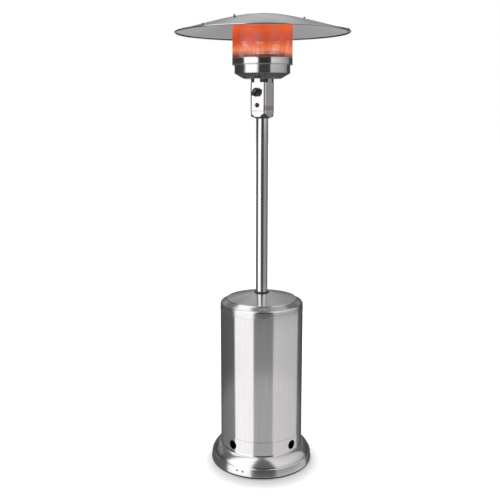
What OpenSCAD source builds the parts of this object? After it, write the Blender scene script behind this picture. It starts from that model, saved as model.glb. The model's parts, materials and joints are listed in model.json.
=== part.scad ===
// Free-standing outdoor gas heater: a weighted base, a lift-up housing over the gas
// cylinder, one straight post, a control box and a radiant head under a round reflector.
// Millimetres, +Z up. The origin is on the floor, on the axis of the post.
// The control panel faces -Y. Turns are measured from -Y towards +X.

/* [Overall] */
// Outer diameter of the reflector, over its rolled rim
reflector_d = 813; // [760:1:860]
// Height of the reflector's rim above the floor
rim_z = 2087; // [2070:1:2120]
// Rise of the reflector from its rim to its crown
reflector_rise = 76; // [60:1:100]
// Outer diameter of the post
post_d = 57; // [50:0.5:57]

/* [Base] */
// Largest diameter of the base
base_d = 501; // [490:1:520]
// Outer diameter of the collar and of the cylinder housing
housing_d = 404; // [398:1:408]
// Height where the collar ends and the housing starts
collar_top_z = 161.6; // [150:0.1:170]
// Diameter of the ventilation holes in the collar
vent_d = 45; // [20:1:50]
// Turn of the first ventilation hole
vent_turn = -8.5; // [-30:0.5:30]
// Thickness of the steel ballast plate
plate_t = 10; // [6:1:12]

/* [Housing] */
// Height of the seam between the housing and its lid
housing_top_z = 771; // [765:1:790]
// Height of the lid's top at its centre
lid_top_z = 855; // [845:1:860]
// Sheet thickness of the housing and the lid
sheet_t = 1; // [0.8:0.1:1.2]

/* [Control box] */
// Width of the square control box
box_w = 85; // [80:1:90]
// Corner radius of the control box
box_r = 12; // [8:1:14]
// Height of the knob's centre
knob_z = 1817; // [1810:1:1820]
// Diameter of the knob
knob_d = 40; // [34:1:44]
// Height of the igniter button's centre
igniter_z = 1757.6; // [1755:0.1:1762]
// Diameter of the igniter's bezel
bezel_d = 22; // [20:1:24]

/* [Head] */
// Outer diameter of the bowl under the emitter
bowl_d = 262; // [256:1:270]
// Outer diameter of the ring around the emitter's foot
ring_d = 282; // [282:1:288]
// Outer diameter of the emitter screen
emitter_d = 279; // [274:1:279]
// Height of the emitter's top
emitter_top_z = 2130; // [2120:1:2136]

/* [Gas cylinder] */
// Outer diameter of the gas cylinder
cylinder_d = 305; // [300:1:306]
// Height of the cylinder's shell between its two heads' tops
cylinder_h = 344; // [330:1:350]

/* [Hidden] */
$fn = 96;

eps = 0.05;                              // gap between pieces that touch

// Base
base_r = base_d / 2;
housing_r = housing_d / 2;
foot_h = 3.2;                            // height of the foot ring under the rolled edge
edge_r = 6;                              // radius of the rolled lower edge
edge_x = base_r - edge_r;
edge_z = foot_h + edge_r;
shell_t = 1.5;
crease_z = 45.5;
bulge_x = housing_r + 2.4;               // where the base's upper bulge meets the collar
bulge_w = base_r - 9 - bulge_x;
bulge_z = crease_z + 2;
bulge_h = 40.5;
bulge_power = 1.3;                       // 1 is a cone, 2 is a quarter circle
bulge_step = 7.5;
base_top_z = bulge_z + bulge_h;
flange_r = 186;                          // inner radius of the collar's foot flange
plate_z = 24;
plate_r = 243;
plate_top_z = plate_z + plate_t;
spigot_r = housing_r - 1.8;
spigot_z = collar_top_z + 14;
vent_z = 125;
vent_count = 4;
screw_z = plate_z + plate_t / 2;
screw_turns = [6.5, 13.5];               // the two screws of a pair
pair_count = 3;

// Legs and post
post_r = post_d / 2;
post_bottom_z = 665;
post_top_z = 1731;
post_wall = 1.5;
leg_turns = [90, 180, 270];
leg_w = 30;
leg_t = 4;
leg_r = 172;                             // inner face of the upright stretch
leg_bend_z = 640;
leg_tab_z = 700;
leg_top_z = 742;
socket_r = 34;
socket_z = 655;
leg_bolt_r = 187;

// Gas cylinder
cylinder_r = cylinder_d / 2;
head_crown_r = 0.8 * cylinder_d;
head_knuckle_r = 0.154 * cylinder_d;
knuckle_x = cylinder_r - head_knuckle_r;
knuckle_rise = sqrt(pow(head_crown_r - head_knuckle_r, 2) - pow(knuckle_x, 2));
crown_turn = asin(knuckle_x / (head_crown_r - head_knuckle_r));
cylinder_wall = 3;
cylinder_z = plate_top_z + 14;
cylinder_top_z = cylinder_z + cylinder_h;
cylinder_foot_r = 102;
neck_r = 14;
guard_r = 102;
guard_t = 3;
guard_top_z = cylinder_top_z + 84;
valve_z = 425;                           // height of the cylinder valve's outlet
wheel_z = 458;
regulator_y = -94;
regulator_r = 31;

// Hose
hose_r = 6;
hose_bend_r = 60;
hose_x = 140;                            // upright stretch beside the cylinder
hose_away = sqrt(pow(hose_x, 2) + pow(regulator_y, 2));
hose_turn = atan2(regulator_y, hose_x);
hose_swing_r = hose_away / 2;
hose_rise_z = valve_z + hose_bend_r;
hose_sides = 12;
hose_steps = 8;                          // rings along each round bend
hose_end_z = 1780;

// Housing and lid
housing_z = collar_top_z + 0.4;
bead_h = 10;
step_x = 170;                            // the dome stands on a low step inside the shoulder
shoulder_top_z = housing_top_z + 52.5;
shoulder_rise = 15.5;
shoulder_slope = atan2(shoulder_rise, housing_r - step_x);
shoulder_r = 15;
shoulder_x = housing_r - shoulder_r;
shoulder_z = shoulder_top_z - shoulder_rise - shoulder_r * tan((90 - shoulder_slope) / 2);
step_h = 4;
step_r = 2.5;
dome_edge_r = step_x - step_r;
dome_hole_r = 31.5;
dome_power = 1.15;                       // 1 is a cone, higher is rounder
grommet_r = 36;
grommet_bore_r = post_r + 0.5;

// Control box
box_t = 1.2;
box_half = box_w / 2;
box_z = 1731;
box_shoulder_z = 1862;                   // the corners end here, the four tongues go on
box_tongue_w = 31;
bowl_floor_z = 1879;
sleeve_z = 1704;
sleeve_tip_w = 28;
bracket_z = 1696;
knob_gap = 5.2;
knob_skirt_h = 12;
knob_grip_h = 11;
knob_grip_w = 12;
knob_turn = 45;
stem_r = 4;
stem_back_y = -28;
igniter_r = 7.5;
igniter_proud = 9;
barrel_r = 9;

// Head
bowl_r = bowl_d / 2;
bowl_foot_r = 88;
bowl_wall_z = 1903;
bowl_top_z = 1941;
bowl_vent_rows = [[1884.5, 96.1], [1893, 111.2]];    // height and radius of each row
bowl_vent_count = 24;
bowl_vent_d = 8;
floor_hole_r = 24;                       // where the jet and the two thin tubes come in
feed_z = bowl_floor_z + 20;              // level run of the thin tubes
ring_r = ring_d / 2;
ring_z = bowl_top_z + 1.2;
ring_top_z = 1972;
emitter_r = emitter_d / 2;
emitter_t = 0.8;
tray_z = ring_z + 3;
burner_r = 96;
burner_top_z = 1986;
venturi_r = 16;
pilot_x = 112;
pilot_turn = 10;                         // the thermocouple and the electrode stand this far round

// Reflector
reflector_r = reflector_d / 2;
rim_wire_r = 3.5;
rim_x = reflector_r - rim_wire_r;
flat_r = 104;                            // the crown is flat inside this radius
reflector_power = 1.17;
reflector_t = 1;
reflector_steps = 16;
panel_in_r = 30;
panel_count = 3;
seam_turn = -5.5;
seam_gap = 0.06;                         // degrees left open between two panels
strap_w = 24;
strap_t = 1;
crown_r = 100;
crown_t = 1.5;
standoff_r = 72;
seam_bolt_rs = [192, 392];
crown_nut_h = 3.6;
crown_nut_dome_r = 12;
stud_top_z = rim_z + reflector_rise + crown_t + 2.4;     // inside the crown nuts

function reflector_z(r) = r <= flat_r ? rim_z + reflector_rise
    : rim_z + reflector_rise * (1 - pow((r - flat_r) / (reflector_r - flat_r), reflector_power));
function dome_z(r) = lid_top_z - (lid_top_z - shoulder_top_z - step_h)
    * pow(max(r - dome_hole_r, 0) / (dome_edge_r - dome_hole_r), dome_power);

// A point of the base's upper bulge, from the crease (0) to the collar (90)
function bulge(a, w, h) = [bulge_x + w * pow(cos(a), 2 / bulge_power),
    bulge_z + h * pow(sin(a), 2 / bulge_power)];

// Places its children at a turn from -Y towards +X, with their +X pointing outwards
module at_turn(turn) {
    rotate([0, 0, turn - 90]) children();
}

// A washer-like ring about the axis
module ring(r_out, r_in, z0, z1) {
    translate([0, 0, z0]) difference() {
        cylinder(h = z1 - z0, r = r_out);
        translate([0, 0, -1]) cylinder(h = z1 - z0 + 2, r = r_in);
    }
}

// A cylinder that points along -Y from y0 to y1
module along_y(r, y0, y1) {
    translate([0, y0, 0]) rotate([-90, 0, 0]) cylinder(h = y1 - y0, r = r);
}

// A hexagonal head or nut with a round washer face under it
module hex_head(across, h) {
    cylinder(h = 0.8, r = across * 0.6);
    translate([0, 0, 0.8]) cylinder(h = h - 0.8, r = across / sqrt(3), $fn = 6);
}

// The control box's outline, grown or shrunk by a margin
module box_outline(margin = 0) {
    half = box_half + margin;
    r = box_r + margin;
    square([2 * half, 2 * (half - r)], center = true);
    square([2 * (half - r), 2 * half], center = true);
    for (x = [-1, 1], y = [-1, 1])
        translate([x * (half - r), y * (half - r)]) circle(r = r);
}

// A quarter of a round sheet edge, in the profile plane
module quarter_bend(r, t) {
    intersection() {
        difference() {
            circle(r = r);
            circle(r = r - t);
        }
        square(r + 1);
    }
}

/* Base */

module base_shell() {
    color("silver") difference() {
        rotate_extrude() {
            translate([edge_x, edge_z]) circle(r = edge_r);
            polygon([[base_r - 0.3, edge_z + 1], [base_r - 5.6, crease_z - 2.5], [base_r - 8.4, crease_z],
                [bulge_x + bulge_w, bulge_z], [bulge_x + bulge_w - shell_t, bulge_z],
                [base_r - 10.2, crease_z], [base_r - 7.2, crease_z - 3.2],
                [base_r - 0.3 - shell_t, edge_z + 1]]);
            polygon(concat(
                [for (a = [0:bulge_step:90]) bulge(a, bulge_w, bulge_h)],
                [[flange_r, base_top_z], [flange_r, base_top_z - shell_t]],
                [for (a = [90:-bulge_step:0]) bulge(a, bulge_w - shell_t, bulge_h - shell_t)]));
        }
        for (k = [0:pair_count - 1], turn = screw_turns)
            at_turn(turn + k * 360 / pair_count) translate([plate_r - 2, 0, screw_z])
                rotate([0, 90, 0]) cylinder(h = 10, r = 2.6);
    }
}

module foot_ring() {
    color("dimgray") rotate_extrude() difference() {
        translate([edge_x - 7, 0]) square([10.5, 5.5]);
        translate([edge_x, edge_z]) circle(r = edge_r + eps);
    }
}

module base_plate() {
    color("dimgray") translate([0, 0, plate_z]) difference() {
        cylinder(h = plate_t, r = plate_r);
        for (turn = leg_turns)
            at_turn(turn) translate([leg_bolt_r, 0, -1]) cylinder(h = plate_t + 2, r = 4.1);
        for (k = [0:pair_count - 1], turn = screw_turns)
            at_turn(turn + k * 360 / pair_count) translate([plate_r - 14, 0, plate_t / 2])
                rotate([0, 90, 0]) cylinder(h = 20, r = 2.5);
    }
}

module base_collar() {
    wall_r = housing_r - shell_t;
    color("silver") difference() {
        rotate_extrude() polygon([[housing_r + 2, base_top_z], [housing_r + 1.8, base_top_z + 1.5],
            [housing_r + 0.3, base_top_z + 5], [housing_r, base_top_z + 7], [housing_r, collar_top_z],
            [spigot_r, collar_top_z], [spigot_r, spigot_z], [spigot_r - shell_t, spigot_z],
            [spigot_r - shell_t, collar_top_z - 10], [wall_r, collar_top_z - 12],
            [wall_r, base_top_z + shell_t + 5], [wall_r + 0.5, base_top_z + shell_t],
            [flange_r, base_top_z + shell_t], [flange_r, base_top_z]]);
        for (k = [0:vent_count - 1])
            at_turn(vent_turn + k * 360 / vent_count) translate([flange_r - 6, 0, vent_z])
                rotate([0, 90, 0]) cylinder(h = 30, r = vent_d / 2);
    }
}

module skirt_screws() {
    skirt_face_r = base_r - 3.2;
    skirt_lean = 8.5;
    color("gray") for (k = [0:pair_count - 1], turn = screw_turns)
        at_turn(turn + k * 360 / pair_count) translate([0, 0, screw_z]) rotate([0, 90, 0]) {
            translate([0, 0, plate_r - 12]) cylinder(h = skirt_face_r - plate_r + 12.5, r = 2.45);
            translate([0, 0, skirt_face_r]) rotate([0, -skirt_lean, 0]) {
                translate([0, 0, 0.3]) cylinder(h = 1.2, r = 4.2);
                translate([0, 0, 1.5]) intersection() {
                    translate([0, 0, -3.4]) sphere(r = 5.2);
                    cylinder(h = 3, r = 4.2);
                }
            }
        }
}

/* Legs, post and their fasteners */

module support_leg(turn) {
    out = leg_r + leg_t;
    tab = socket_r + leg_t;
    color("gray") at_turn(turn) difference() {
        translate([0, leg_w / 2, 0]) rotate([90, 0, 0]) linear_extrude(leg_w) polygon([
            [leg_r, plate_top_z], [leg_bolt_r + 12, plate_top_z], [leg_bolt_r + 12, plate_top_z + leg_t],
            [out, plate_top_z + leg_t], [out, leg_bend_z], [tab, leg_tab_z], [tab, leg_top_z],
            [socket_r, leg_top_z], [socket_r, leg_tab_z - 2], [leg_r, leg_bend_z - 2]]);
        translate([leg_bolt_r, 0, plate_top_z - 1]) cylinder(h = leg_t + 2, r = 4.1);
        for (z = [leg_tab_z + 10, leg_tab_z + 32])
            translate([socket_r - 1, 0, z]) rotate([0, 90, 0]) cylinder(h = leg_t + 2, r = 4.1);
    }
}

module support_leg_1() {
    support_leg(leg_turns[0]);
}

module support_leg_2() {
    support_leg(leg_turns[1]);
}

module support_leg_3() {
    support_leg(leg_turns[2]);
}

module leg_bolts() {
    color("silver") for (turn = leg_turns) at_turn(turn) translate([leg_bolt_r, 0, 0]) {
        translate([0, 0, plate_z - 3]) cylinder(h = plate_t + leg_t + 6, r = 4);
        translate([0, 0, plate_top_z + leg_t]) hex_head(13, 6);
        translate([0, 0, plate_z]) mirror([0, 0, 1]) hex_head(13, 6);
    }
}

module post_socket() {
    color("gray") difference() {
        translate([0, 0, socket_z]) cylinder(h = leg_top_z + 6 - socket_z, r = socket_r - eps);
        translate([0, 0, post_bottom_z]) cylinder(h = 100, r = post_r + eps);
        translate([0, 0, socket_z - 1]) cylinder(h = 20, r = post_r - 3);
        for (turn = leg_turns, z = [leg_tab_z + 10, leg_tab_z + 32])
            at_turn(turn) translate([post_r - 4, 0, z]) rotate([0, 90, 0]) cylinder(h = 20, r = 4.1);
    }
}

module post_bolts() {
    color("silver") for (turn = leg_turns, z = [leg_tab_z + 10, leg_tab_z + 32])
        at_turn(turn) translate([0, 0, z]) rotate([0, 90, 0]) {
            translate([0, 0, post_r - post_wall - 4]) cylinder(h = socket_r + leg_t - post_r + 8, r = 4);
            translate([0, 0, socket_r + leg_t]) hex_head(13, 6);
        }
}

module post() {
    color("silver") difference() {
        ring(post_r, post_r - post_wall, post_bottom_z, post_top_z);
        for (turn = leg_turns, z = [leg_tab_z + 10, leg_tab_z + 32])
            at_turn(turn) translate([post_r - 5, 0, z]) rotate([0, 90, 0]) cylinder(h = 20, r = 4.1);
    }
}

/* Gas cylinder, its fittings and the hose */

// Profile of the cylinder's pressed shell, shrunk by a margin
module cylinder_profile(margin) {
    centre_z = cylinder_top_z - head_crown_r;
    knuckle_z = centre_z + knuckle_rise;
    low_z = cylinder_z + cylinder_top_z - knuckle_z;
    wedge = (head_crown_r + 1) * tan(crown_turn);
    translate([0, low_z]) square([cylinder_r - margin, knuckle_z - low_z]);
    for (side = [0, 1]) translate([0, side * (cylinder_z + cylinder_top_z)]) mirror([0, side]) {
        translate([knuckle_x, knuckle_z]) circle(r = head_knuckle_r - margin);
        translate([0, centre_z]) intersection() {
            circle(r = head_crown_r - margin);
            polygon([[0, 0], [wedge, head_crown_r + 1], [0, head_crown_r + 1]]);
        }
        translate([0, knuckle_z - 40]) square([knuckle_x, 40]);
    }
}

module gas_cylinder() {
    color("white") {
        difference() {
            union() {
                rotate_extrude() intersection() {
                    cylinder_profile(0);
                    square([cylinder_r + 1, cylinder_top_z + 1]);
                }
                translate([0, 0, cylinder_top_z - 8]) cylinder(h = 16, r = neck_r + 7);
                ring(cylinder_foot_r, cylinder_foot_r - guard_t, plate_top_z, cylinder_z + 34);
            }
            rotate_extrude() intersection() {
                cylinder_profile(cylinder_wall);
                square([cylinder_r + 1, cylinder_top_z + 1]);
            }
            translate([0, 0, cylinder_top_z - 12]) cylinder(h = 30, r = neck_r);
        }
    }
}

module cylinder_guard() {
    skirt_z = cylinder_top_z - 15;
    color("white") difference() {
        ring(guard_r, guard_r - guard_t, skirt_z, guard_top_z);
        rotate_extrude() intersection() {
            cylinder_profile(-eps);
            square([cylinder_r + 1, cylinder_top_z + 1]);
        }
        translate([-62, -guard_r - 5, skirt_z + 26]) cube([124, 60, 100]);
        translate([0, 30, guard_top_z - 28]) rotate([-90, 0, 0]) {
            translate([-35, 0, 0]) cylinder(h = 100, r = 11);
            translate([35, 0, 0]) cylinder(h = 100, r = 11);
            translate([-35, -11, 0]) cube([70, 22, 100]);
        }
    }
}

module cylinder_valve() {
    color("goldenrod") {
        translate([0, 0, cylinder_top_z - 10]) cylinder(h = 20, r = neck_r - eps);
        translate([0, 0, cylinder_top_z + 10]) cylinder(h = wheel_z - 22 - cylinder_top_z, r = 15);
        translate([0, 0, valve_z]) along_y(12, -46, 0);
        translate([0, 0, wheel_z - 14]) cylinder(h = 24, r = 5);
        translate([0, 0, valve_z]) along_y(8, 0, 24);
    }
}

module cylinder_handwheel() {
    lobes = 6;
    color("royalblue") difference() {
        union() {
            translate([0, 0, wheel_z]) cylinder(h = 16, r = 26);
            translate([0, 0, wheel_z - 6]) cylinder(h = 8, r = 12);
            for (k = [0:lobes - 1]) rotate([0, 0, k * 360 / lobes])
                translate([25, 0, wheel_z]) cylinder(h = 16, r = 7);
        }
        translate([0, 0, wheel_z - 7]) cylinder(h = 17.3, r = 5.05);
        translate([0, 0, wheel_z + 12]) cylinder(h = 5, r = 15);
    }
}

module regulator() {
    color("gray") difference() {
        union() {
            translate([0, regulator_y, valve_z - 16]) cylinder(h = 26, r = regulator_r);
            translate([0, regulator_y, valve_z - 10]) cylinder(h = 14, r = regulator_r + 5);
            translate([0, regulator_y, valve_z + 10]) cylinder(h = 14, r = 18);
            translate([0, 0, valve_z]) along_y(9, regulator_y + 20, -46.1);
            translate([20, regulator_y, valve_z]) rotate([0, 90, 0]) cylinder(h = 26, r = 8);
            translate([44, regulator_y, valve_z]) rotate([0, 90, 0]) cylinder(h = 10, r = 10, $fn = 6);
        }
        translate([10, regulator_y, valve_z]) rotate([0, 90, 0]) cylinder(h = 50, r = 3);
    }
}

module regulator_nut() {
    color("black") translate([0, 0, valve_z]) difference() {
        union() {
            along_y(19, -56, -34);
            for (k = [0:11]) rotate([0, k * 30, 0]) translate([19, 0, 0]) along_y(2, -55, -35);
        }
        along_y(12.05, -46, -30);
        along_y(9.05, -60, -40);
    }
}

// The hose's route as [point, direction] pairs: out of the regulator, up, in over the
// cylinder with two round bends, and up inside the post
function hose_route() = concat(
    [[[54.1, regulator_y, valve_z], [1, 0, 0]]],
    [for (k = [0:hose_steps]) let(a = 90 * k / hose_steps)
        [[hose_x - hose_bend_r + hose_bend_r * sin(a), regulator_y, hose_rise_z - hose_bend_r * cos(a)],
        [cos(a), 0, sin(a)]]],
    [for (k = [0:hose_steps]) let(a = 90 * k / hose_steps, away = hose_swing_r * (1 + cos(a)))
        [[away * cos(hose_turn), away * sin(hose_turn), hose_rise_z + 1 + hose_swing_r * sin(a)],
        [-sin(a) * cos(hose_turn), -sin(a) * sin(hose_turn), cos(a)]]],
    [for (k = [1:hose_steps]) let(a = 90 * k / hose_steps, away = hose_swing_r * (1 - sin(a)))
        [[away * cos(hose_turn), away * sin(hose_turn),
            hose_rise_z + 1 + hose_swing_r * (2 - cos(a))],
        [-cos(a) * cos(hose_turn), -cos(a) * sin(hose_turn), sin(a)]]],
    [[[0, 0, hose_end_z], [0, 0, 1]]]);

// One ring of the hose's skin about a point of its route
function hose_ring(at) = let(n = cross(at[1], [0, 1, 0]) / norm(cross(at[1], [0, 1, 0])), b = cross(at[1], n))
    [for (k = [0:hose_sides - 1]) let(a = 360 * k / hose_sides) at[0] + hose_r * (cos(a) * n + sin(a) * b)];

module gas_hose() {
    route = hose_route();
    last = (len(route) - 1) * hose_sides;
    color("dimgray") polyhedron(
        points = [for (at = route) each hose_ring(at)],
        faces = concat(
            [[for (k = [0:hose_sides - 1]) k]],
            [for (i = [0:len(route) - 2], k = [0:hose_sides - 1]) let(
                a = i * hose_sides + k, b = i * hose_sides + (k + 1) % hose_sides)
                [a, a + hose_sides, b + hose_sides, b]],
            [[for (k = [hose_sides - 1:-1:0]) last + k]]));
}

/* Housing */

module housing_body() {
    color("silver") ring(housing_r, housing_r - sheet_t, housing_z, housing_top_z);
}

// Points of the round shoulder, from one share of its turn to another
function shoulder_arc(r, from, to) = [for (k = [0:8])
    let (a = (90 - shoulder_slope) * (from + (to - from) * k / 8))
    [shoulder_x + r * cos(a), shoulder_z + r * sin(a)]];

module housing_lid() {
    steps = 10;
    span = dome_edge_r - dome_hole_r;
    rs = [for (k = [0:steps]) dome_hole_r + span * k / steps];
    wall_r = housing_r - sheet_t;
    under_z = shoulder_top_z - sheet_t / cos(shoulder_slope) + sheet_t * tan(shoulder_slope);
    step_z = shoulder_top_z + step_h - step_r;
    color("silver") {
        rotate_extrude() polygon([[housing_r, shoulder_z], [housing_r, housing_top_z + bead_h + 0.6],
            [housing_r + 0.8, housing_top_z + bead_h + 0.2], [housing_r + 0.8, housing_top_z + 0.7],
            [housing_r, housing_top_z + 0.3], [wall_r - 0.1, housing_top_z + 0.3],
            [wall_r - 0.1, housing_top_z - 9], [wall_r - sheet_t, housing_top_z - 9],
            [wall_r - sheet_t, housing_top_z + 2], [wall_r, housing_top_z + 4], [wall_r, shoulder_z]]);
        rotate_extrude() translate([dome_edge_r, step_z]) quarter_bend(step_r, sheet_t);
        rotate_extrude() polygon(concat(shoulder_arc(shoulder_r, 0, 1),
            [[step_x, shoulder_top_z], [step_x, step_z], [step_x - sheet_t, step_z],
            [step_x - sheet_t, under_z]], shoulder_arc(shoulder_r - sheet_t, 1, 0)));
        rotate_extrude() polygon(concat(
            [for (r = rs) [r, dome_z(r)]],
            [for (k = [steps:-1:0]) [rs[k], dome_z(rs[k]) - sheet_t]]));
    }
}

module lid_grommet() {
    low_z = lid_top_z - sheet_t - 3;
    color("black") difference() {
        union() {
            ring(dome_hole_r - 0.2, grommet_bore_r, low_z, lid_top_z + 1);
            rotate_extrude() translate([grommet_r - 2.5, lid_top_z + 2.55]) circle(r = 2.5);
            ring(grommet_r - 2.5, grommet_bore_r, lid_top_z + eps, lid_top_z + 5.05);
        }
    }
}

/* Control box */

module foot_sleeve() {
    h = box_z - sleeve_z;
    side = box_half + 1;
    color("gainsboro") translate([0, 0, sleeve_z]) intersection() {
        linear_extrude(h) difference() {
            box_outline();
            box_outline(-box_t);
        }
        union() for (turn = [0, 90])
            rotate([90, 0, turn]) translate([0, 0, -side]) linear_extrude(2 * side) polygon([
                [-side, h + 1], [-side, 0.56 * h], [-sleeve_tip_w / 2 - 10, 0.24 * h], [-sleeve_tip_w / 2, -0.01],
                [sleeve_tip_w / 2, -0.01], [sleeve_tip_w / 2 + 10, 0.24 * h], [side, 0.56 * h], [side, h + 1]]);
    }
}

module head_bracket() {
    margin = -box_t - 0.3;
    color("dimgray") difference() {
        union() {
            translate([0, 0, sleeve_z + 2]) linear_extrude(box_z + 6 - sleeve_z - 2) box_outline(margin);
            hull() {
                translate([0, 0, sleeve_z + 2]) linear_extrude(0.2) box_outline(margin, $fn = 32);
                translate([0, 0, bracket_z]) cylinder(h = 0.2, r = post_r + 5, $fn = 32);
            }
        }
        translate([0, 0, bracket_z - 1]) cylinder(h = post_top_z + 0.1 - bracket_z + 1, r = post_r + eps);
        translate([0, 0, post_top_z - 1]) cylinder(h = 12, r = post_r - 4);
    }
}

module control_box() {
    color("gainsboro") difference() {
        translate([0, 0, box_z + 0.3]) linear_extrude(bowl_floor_z - box_z - 0.4) difference() {
            box_outline();
            box_outline(-box_t);
        }
        for (x = [-1, 1], y = [-1, 1]) translate([x * (box_tongue_w + 30) / 2, y * (box_tongue_w + 30) / 2,
            box_shoulder_z + 15]) cube([30, 30, 30], center = true);
        translate([0, 0, knob_z]) along_y(stem_r + 2.5, -box_half - 2, -box_half + 5);
        translate([0, 0, igniter_z]) along_y(barrel_r + 0.1, -box_half - 2, -box_half + 5);
        for (x = [-20, 20], z = [box_z + 3.5, bowl_floor_z - 30])
            translate([x, 0, z]) along_y(2.1, box_half - 5, box_half + 2);
    }
}

// Dark sheet behind the four tongues, which closes the corners between them
module neck_liner() {
    color("dimgray") translate([0, 0, box_shoulder_z - 8]) linear_extrude(bowl_floor_z - box_shoulder_z + 7.8)
        difference() {
            box_outline(-box_t - 0.4);
            box_outline(-box_t - 1.4);
        }
}

module box_screws() {
    color("gray") for (x = [-20, 20]) {
        translate([x, 0, box_z + 3.5]) {
            along_y(2, box_half - box_t - 0.3, box_half + 0.2);
            along_y(4, box_half, box_half + 2.2);
        }
        translate([x, 0, bowl_floor_z - 30]) {
            along_y(2, box_half - 4, box_half + 0.2);
            along_y(4, box_half, box_half + 2.2);
        }
    }
}

module dial_plate() {
    color("silver") translate([0, 0, knob_z]) difference() {
        along_y(knob_d / 2 + 3, -box_half - 0.8, -box_half);
        along_y(stem_r + 2.5, -box_half - 2, -box_half + 2);
    }
}

module gas_valve() {
    color("goldenrod") difference() {
        union() {
            translate([-18, -26, knob_z - 22]) cube([36, 40, 42]);
            translate([0, 0, knob_z]) along_y(11, -box_half + box_t + 0.1, -20);
            translate([0, 0, hose_end_z]) cylinder(h = 16, r = 9, $fn = 6);
            translate([0, 0, knob_z + 19]) cylinder(h = 12, r = 8, $fn = 6);
        }
        translate([0, 0, knob_z]) along_y(stem_r + 0.05, -60, -14);
    }
}

module valve_plunger() {
    color("silver") translate([0, 0, knob_z]) along_y(stem_r - 0.5, stem_back_y + 0.1, -20);
}

module valve_stem() {
    color("silver") translate([0, 0, knob_z]) along_y(stem_r, -box_half - knob_gap - 10, stem_back_y);
}

module control_knob() {
    front = -box_half - knob_gap;
    color("black") translate([0, 0, knob_z]) difference() {
        union() {
            along_y(knob_d / 2, front - knob_skirt_h + 2, front);
            along_y(knob_d / 2 - 1.2, front - knob_skirt_h, front);
            intersection() {
                along_y(knob_d / 2 - 1.2, front - knob_skirt_h - knob_grip_h, front);
                rotate([0, -knob_turn, 0])
                    translate([-knob_d / 2, front - knob_skirt_h - knob_grip_h, -knob_grip_w / 2])
                        cube([knob_d, knob_grip_h + 2, knob_grip_w]);
            }
        }
        along_y(stem_r + 0.02, front - 10, front + 1);
        rotate([0, -knob_turn, 0]) translate([4, front - knob_skirt_h - knob_grip_h - 1, -0.8])
            cube([knob_d / 2, 2, 1.6]);
    }
}

module igniter_barrel() {
    color("black") translate([0, 0, igniter_z]) difference() {
        along_y(barrel_r, -box_half - 1.9, -12);
        along_y(igniter_r + 0.1, -box_half - 5, -26);
    }
}

module igniter_bezel() {
    color("black") translate([0, 0, igniter_z]) difference() {
        union() {
            along_y(bezel_d / 2, -box_half - 2.4, -box_half);
            along_y(bezel_d / 2 - 1.2, -box_half - 4, -box_half);
        }
        along_y(barrel_r + eps, -box_half - 2, -box_half + 1);
        along_y(igniter_r + 0.3, -box_half - 5, -box_half + 1);
    }
}

module igniter_button() {
    front = -box_half - igniter_proud;
    color("maroon") translate([0, 0, igniter_z]) {
        along_y(igniter_r, front + 0.8, -34);
        along_y(igniter_r - 0.8, front, -34);
    }
}

module tilt_switch() {
    color("darkslategray") {
        translate([-34, 8, 1760]) cube([16, 24, 30]);
        translate([-26, 20, 1790]) cylinder(h = 6, r = 4);
    }
}

/* Head */

module bowl_base() {
    floor_r = bowl_foot_r;
    color("dimgray") difference() {
        rotate_extrude() polygon([[floor_hole_r, bowl_floor_z], [floor_r, bowl_floor_z],
            [bowl_r - 2, bowl_wall_z], [bowl_r - 1.1, bowl_wall_z], [bowl_r - 1.1, bowl_wall_z + 8],
            [bowl_r - 2.1, bowl_wall_z + 8], [bowl_r - 2.1, bowl_wall_z + 1.2],
            [floor_r - 0.5, bowl_floor_z + 1.2], [floor_hole_r, bowl_floor_z + 1.2]]);
        for (row = bowl_vent_rows, k = [0:bowl_vent_count - 1])
            rotate([0, 0, k * 360 / bowl_vent_count]) translate([row[1], 0, row[0]])
                rotate([0, 150, 0]) cylinder(h = 12, r = bowl_vent_d / 2, center = true);
    }
}

module bowl_wall() {
    color("silver") rotate_extrude() polygon([[bowl_r, bowl_wall_z], [bowl_r, bowl_top_z - 1],
        [ring_r - 4, bowl_top_z - 1], [ring_r - 4, bowl_top_z], [bowl_r - 1, bowl_top_z],
        [bowl_r - 1, bowl_wall_z]]);
}

module head_ring() {
    color("silver") rotate_extrude() {
        polygon([[bowl_r - 4, bowl_top_z + 0.1], [ring_r - 0.7, bowl_top_z + 0.1], [ring_r, bowl_top_z + 0.8],
            [ring_r, ring_top_z], [ring_r - 1, ring_top_z], [ring_r - 1, ring_z], [bowl_r - 4, ring_z]]);
    }
}

module burner_tray() {
    color("gray") difference() {
        ring(emitter_r - emitter_t - 0.3, venturi_r + eps, ring_z, tray_z);
        for (turn = [-pilot_turn, 0, pilot_turn])
            rotate([0, 0, turn]) translate([pilot_x, 0, ring_z - 1]) cylinder(h = 10, r = 3.2);
    }
}

module gas_jet() {
    color("goldenrod") difference() {
        union() {
            translate([0, 0, knob_z + 31]) cylinder(h = 52, r = 4);
            translate([0, 0, knob_z + 82]) cylinder(h = 10, r = 7, $fn = 6);
        }
        translate([0, 0, knob_z + 80]) cylinder(h = 20, r = 1);
    }
}

module venturi_tube() {
    inlet_z = bowl_floor_z + 26;
    color("gray") rotate_extrude() polygon([[venturi_r + 6, inlet_z], [venturi_r, inlet_z + 12],
        [venturi_r, tray_z + 8], [venturi_r - 1.5, tray_z + 8], [venturi_r - 1.5, inlet_z + 12],
        [venturi_r + 4.2, inlet_z]]);
}

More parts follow.
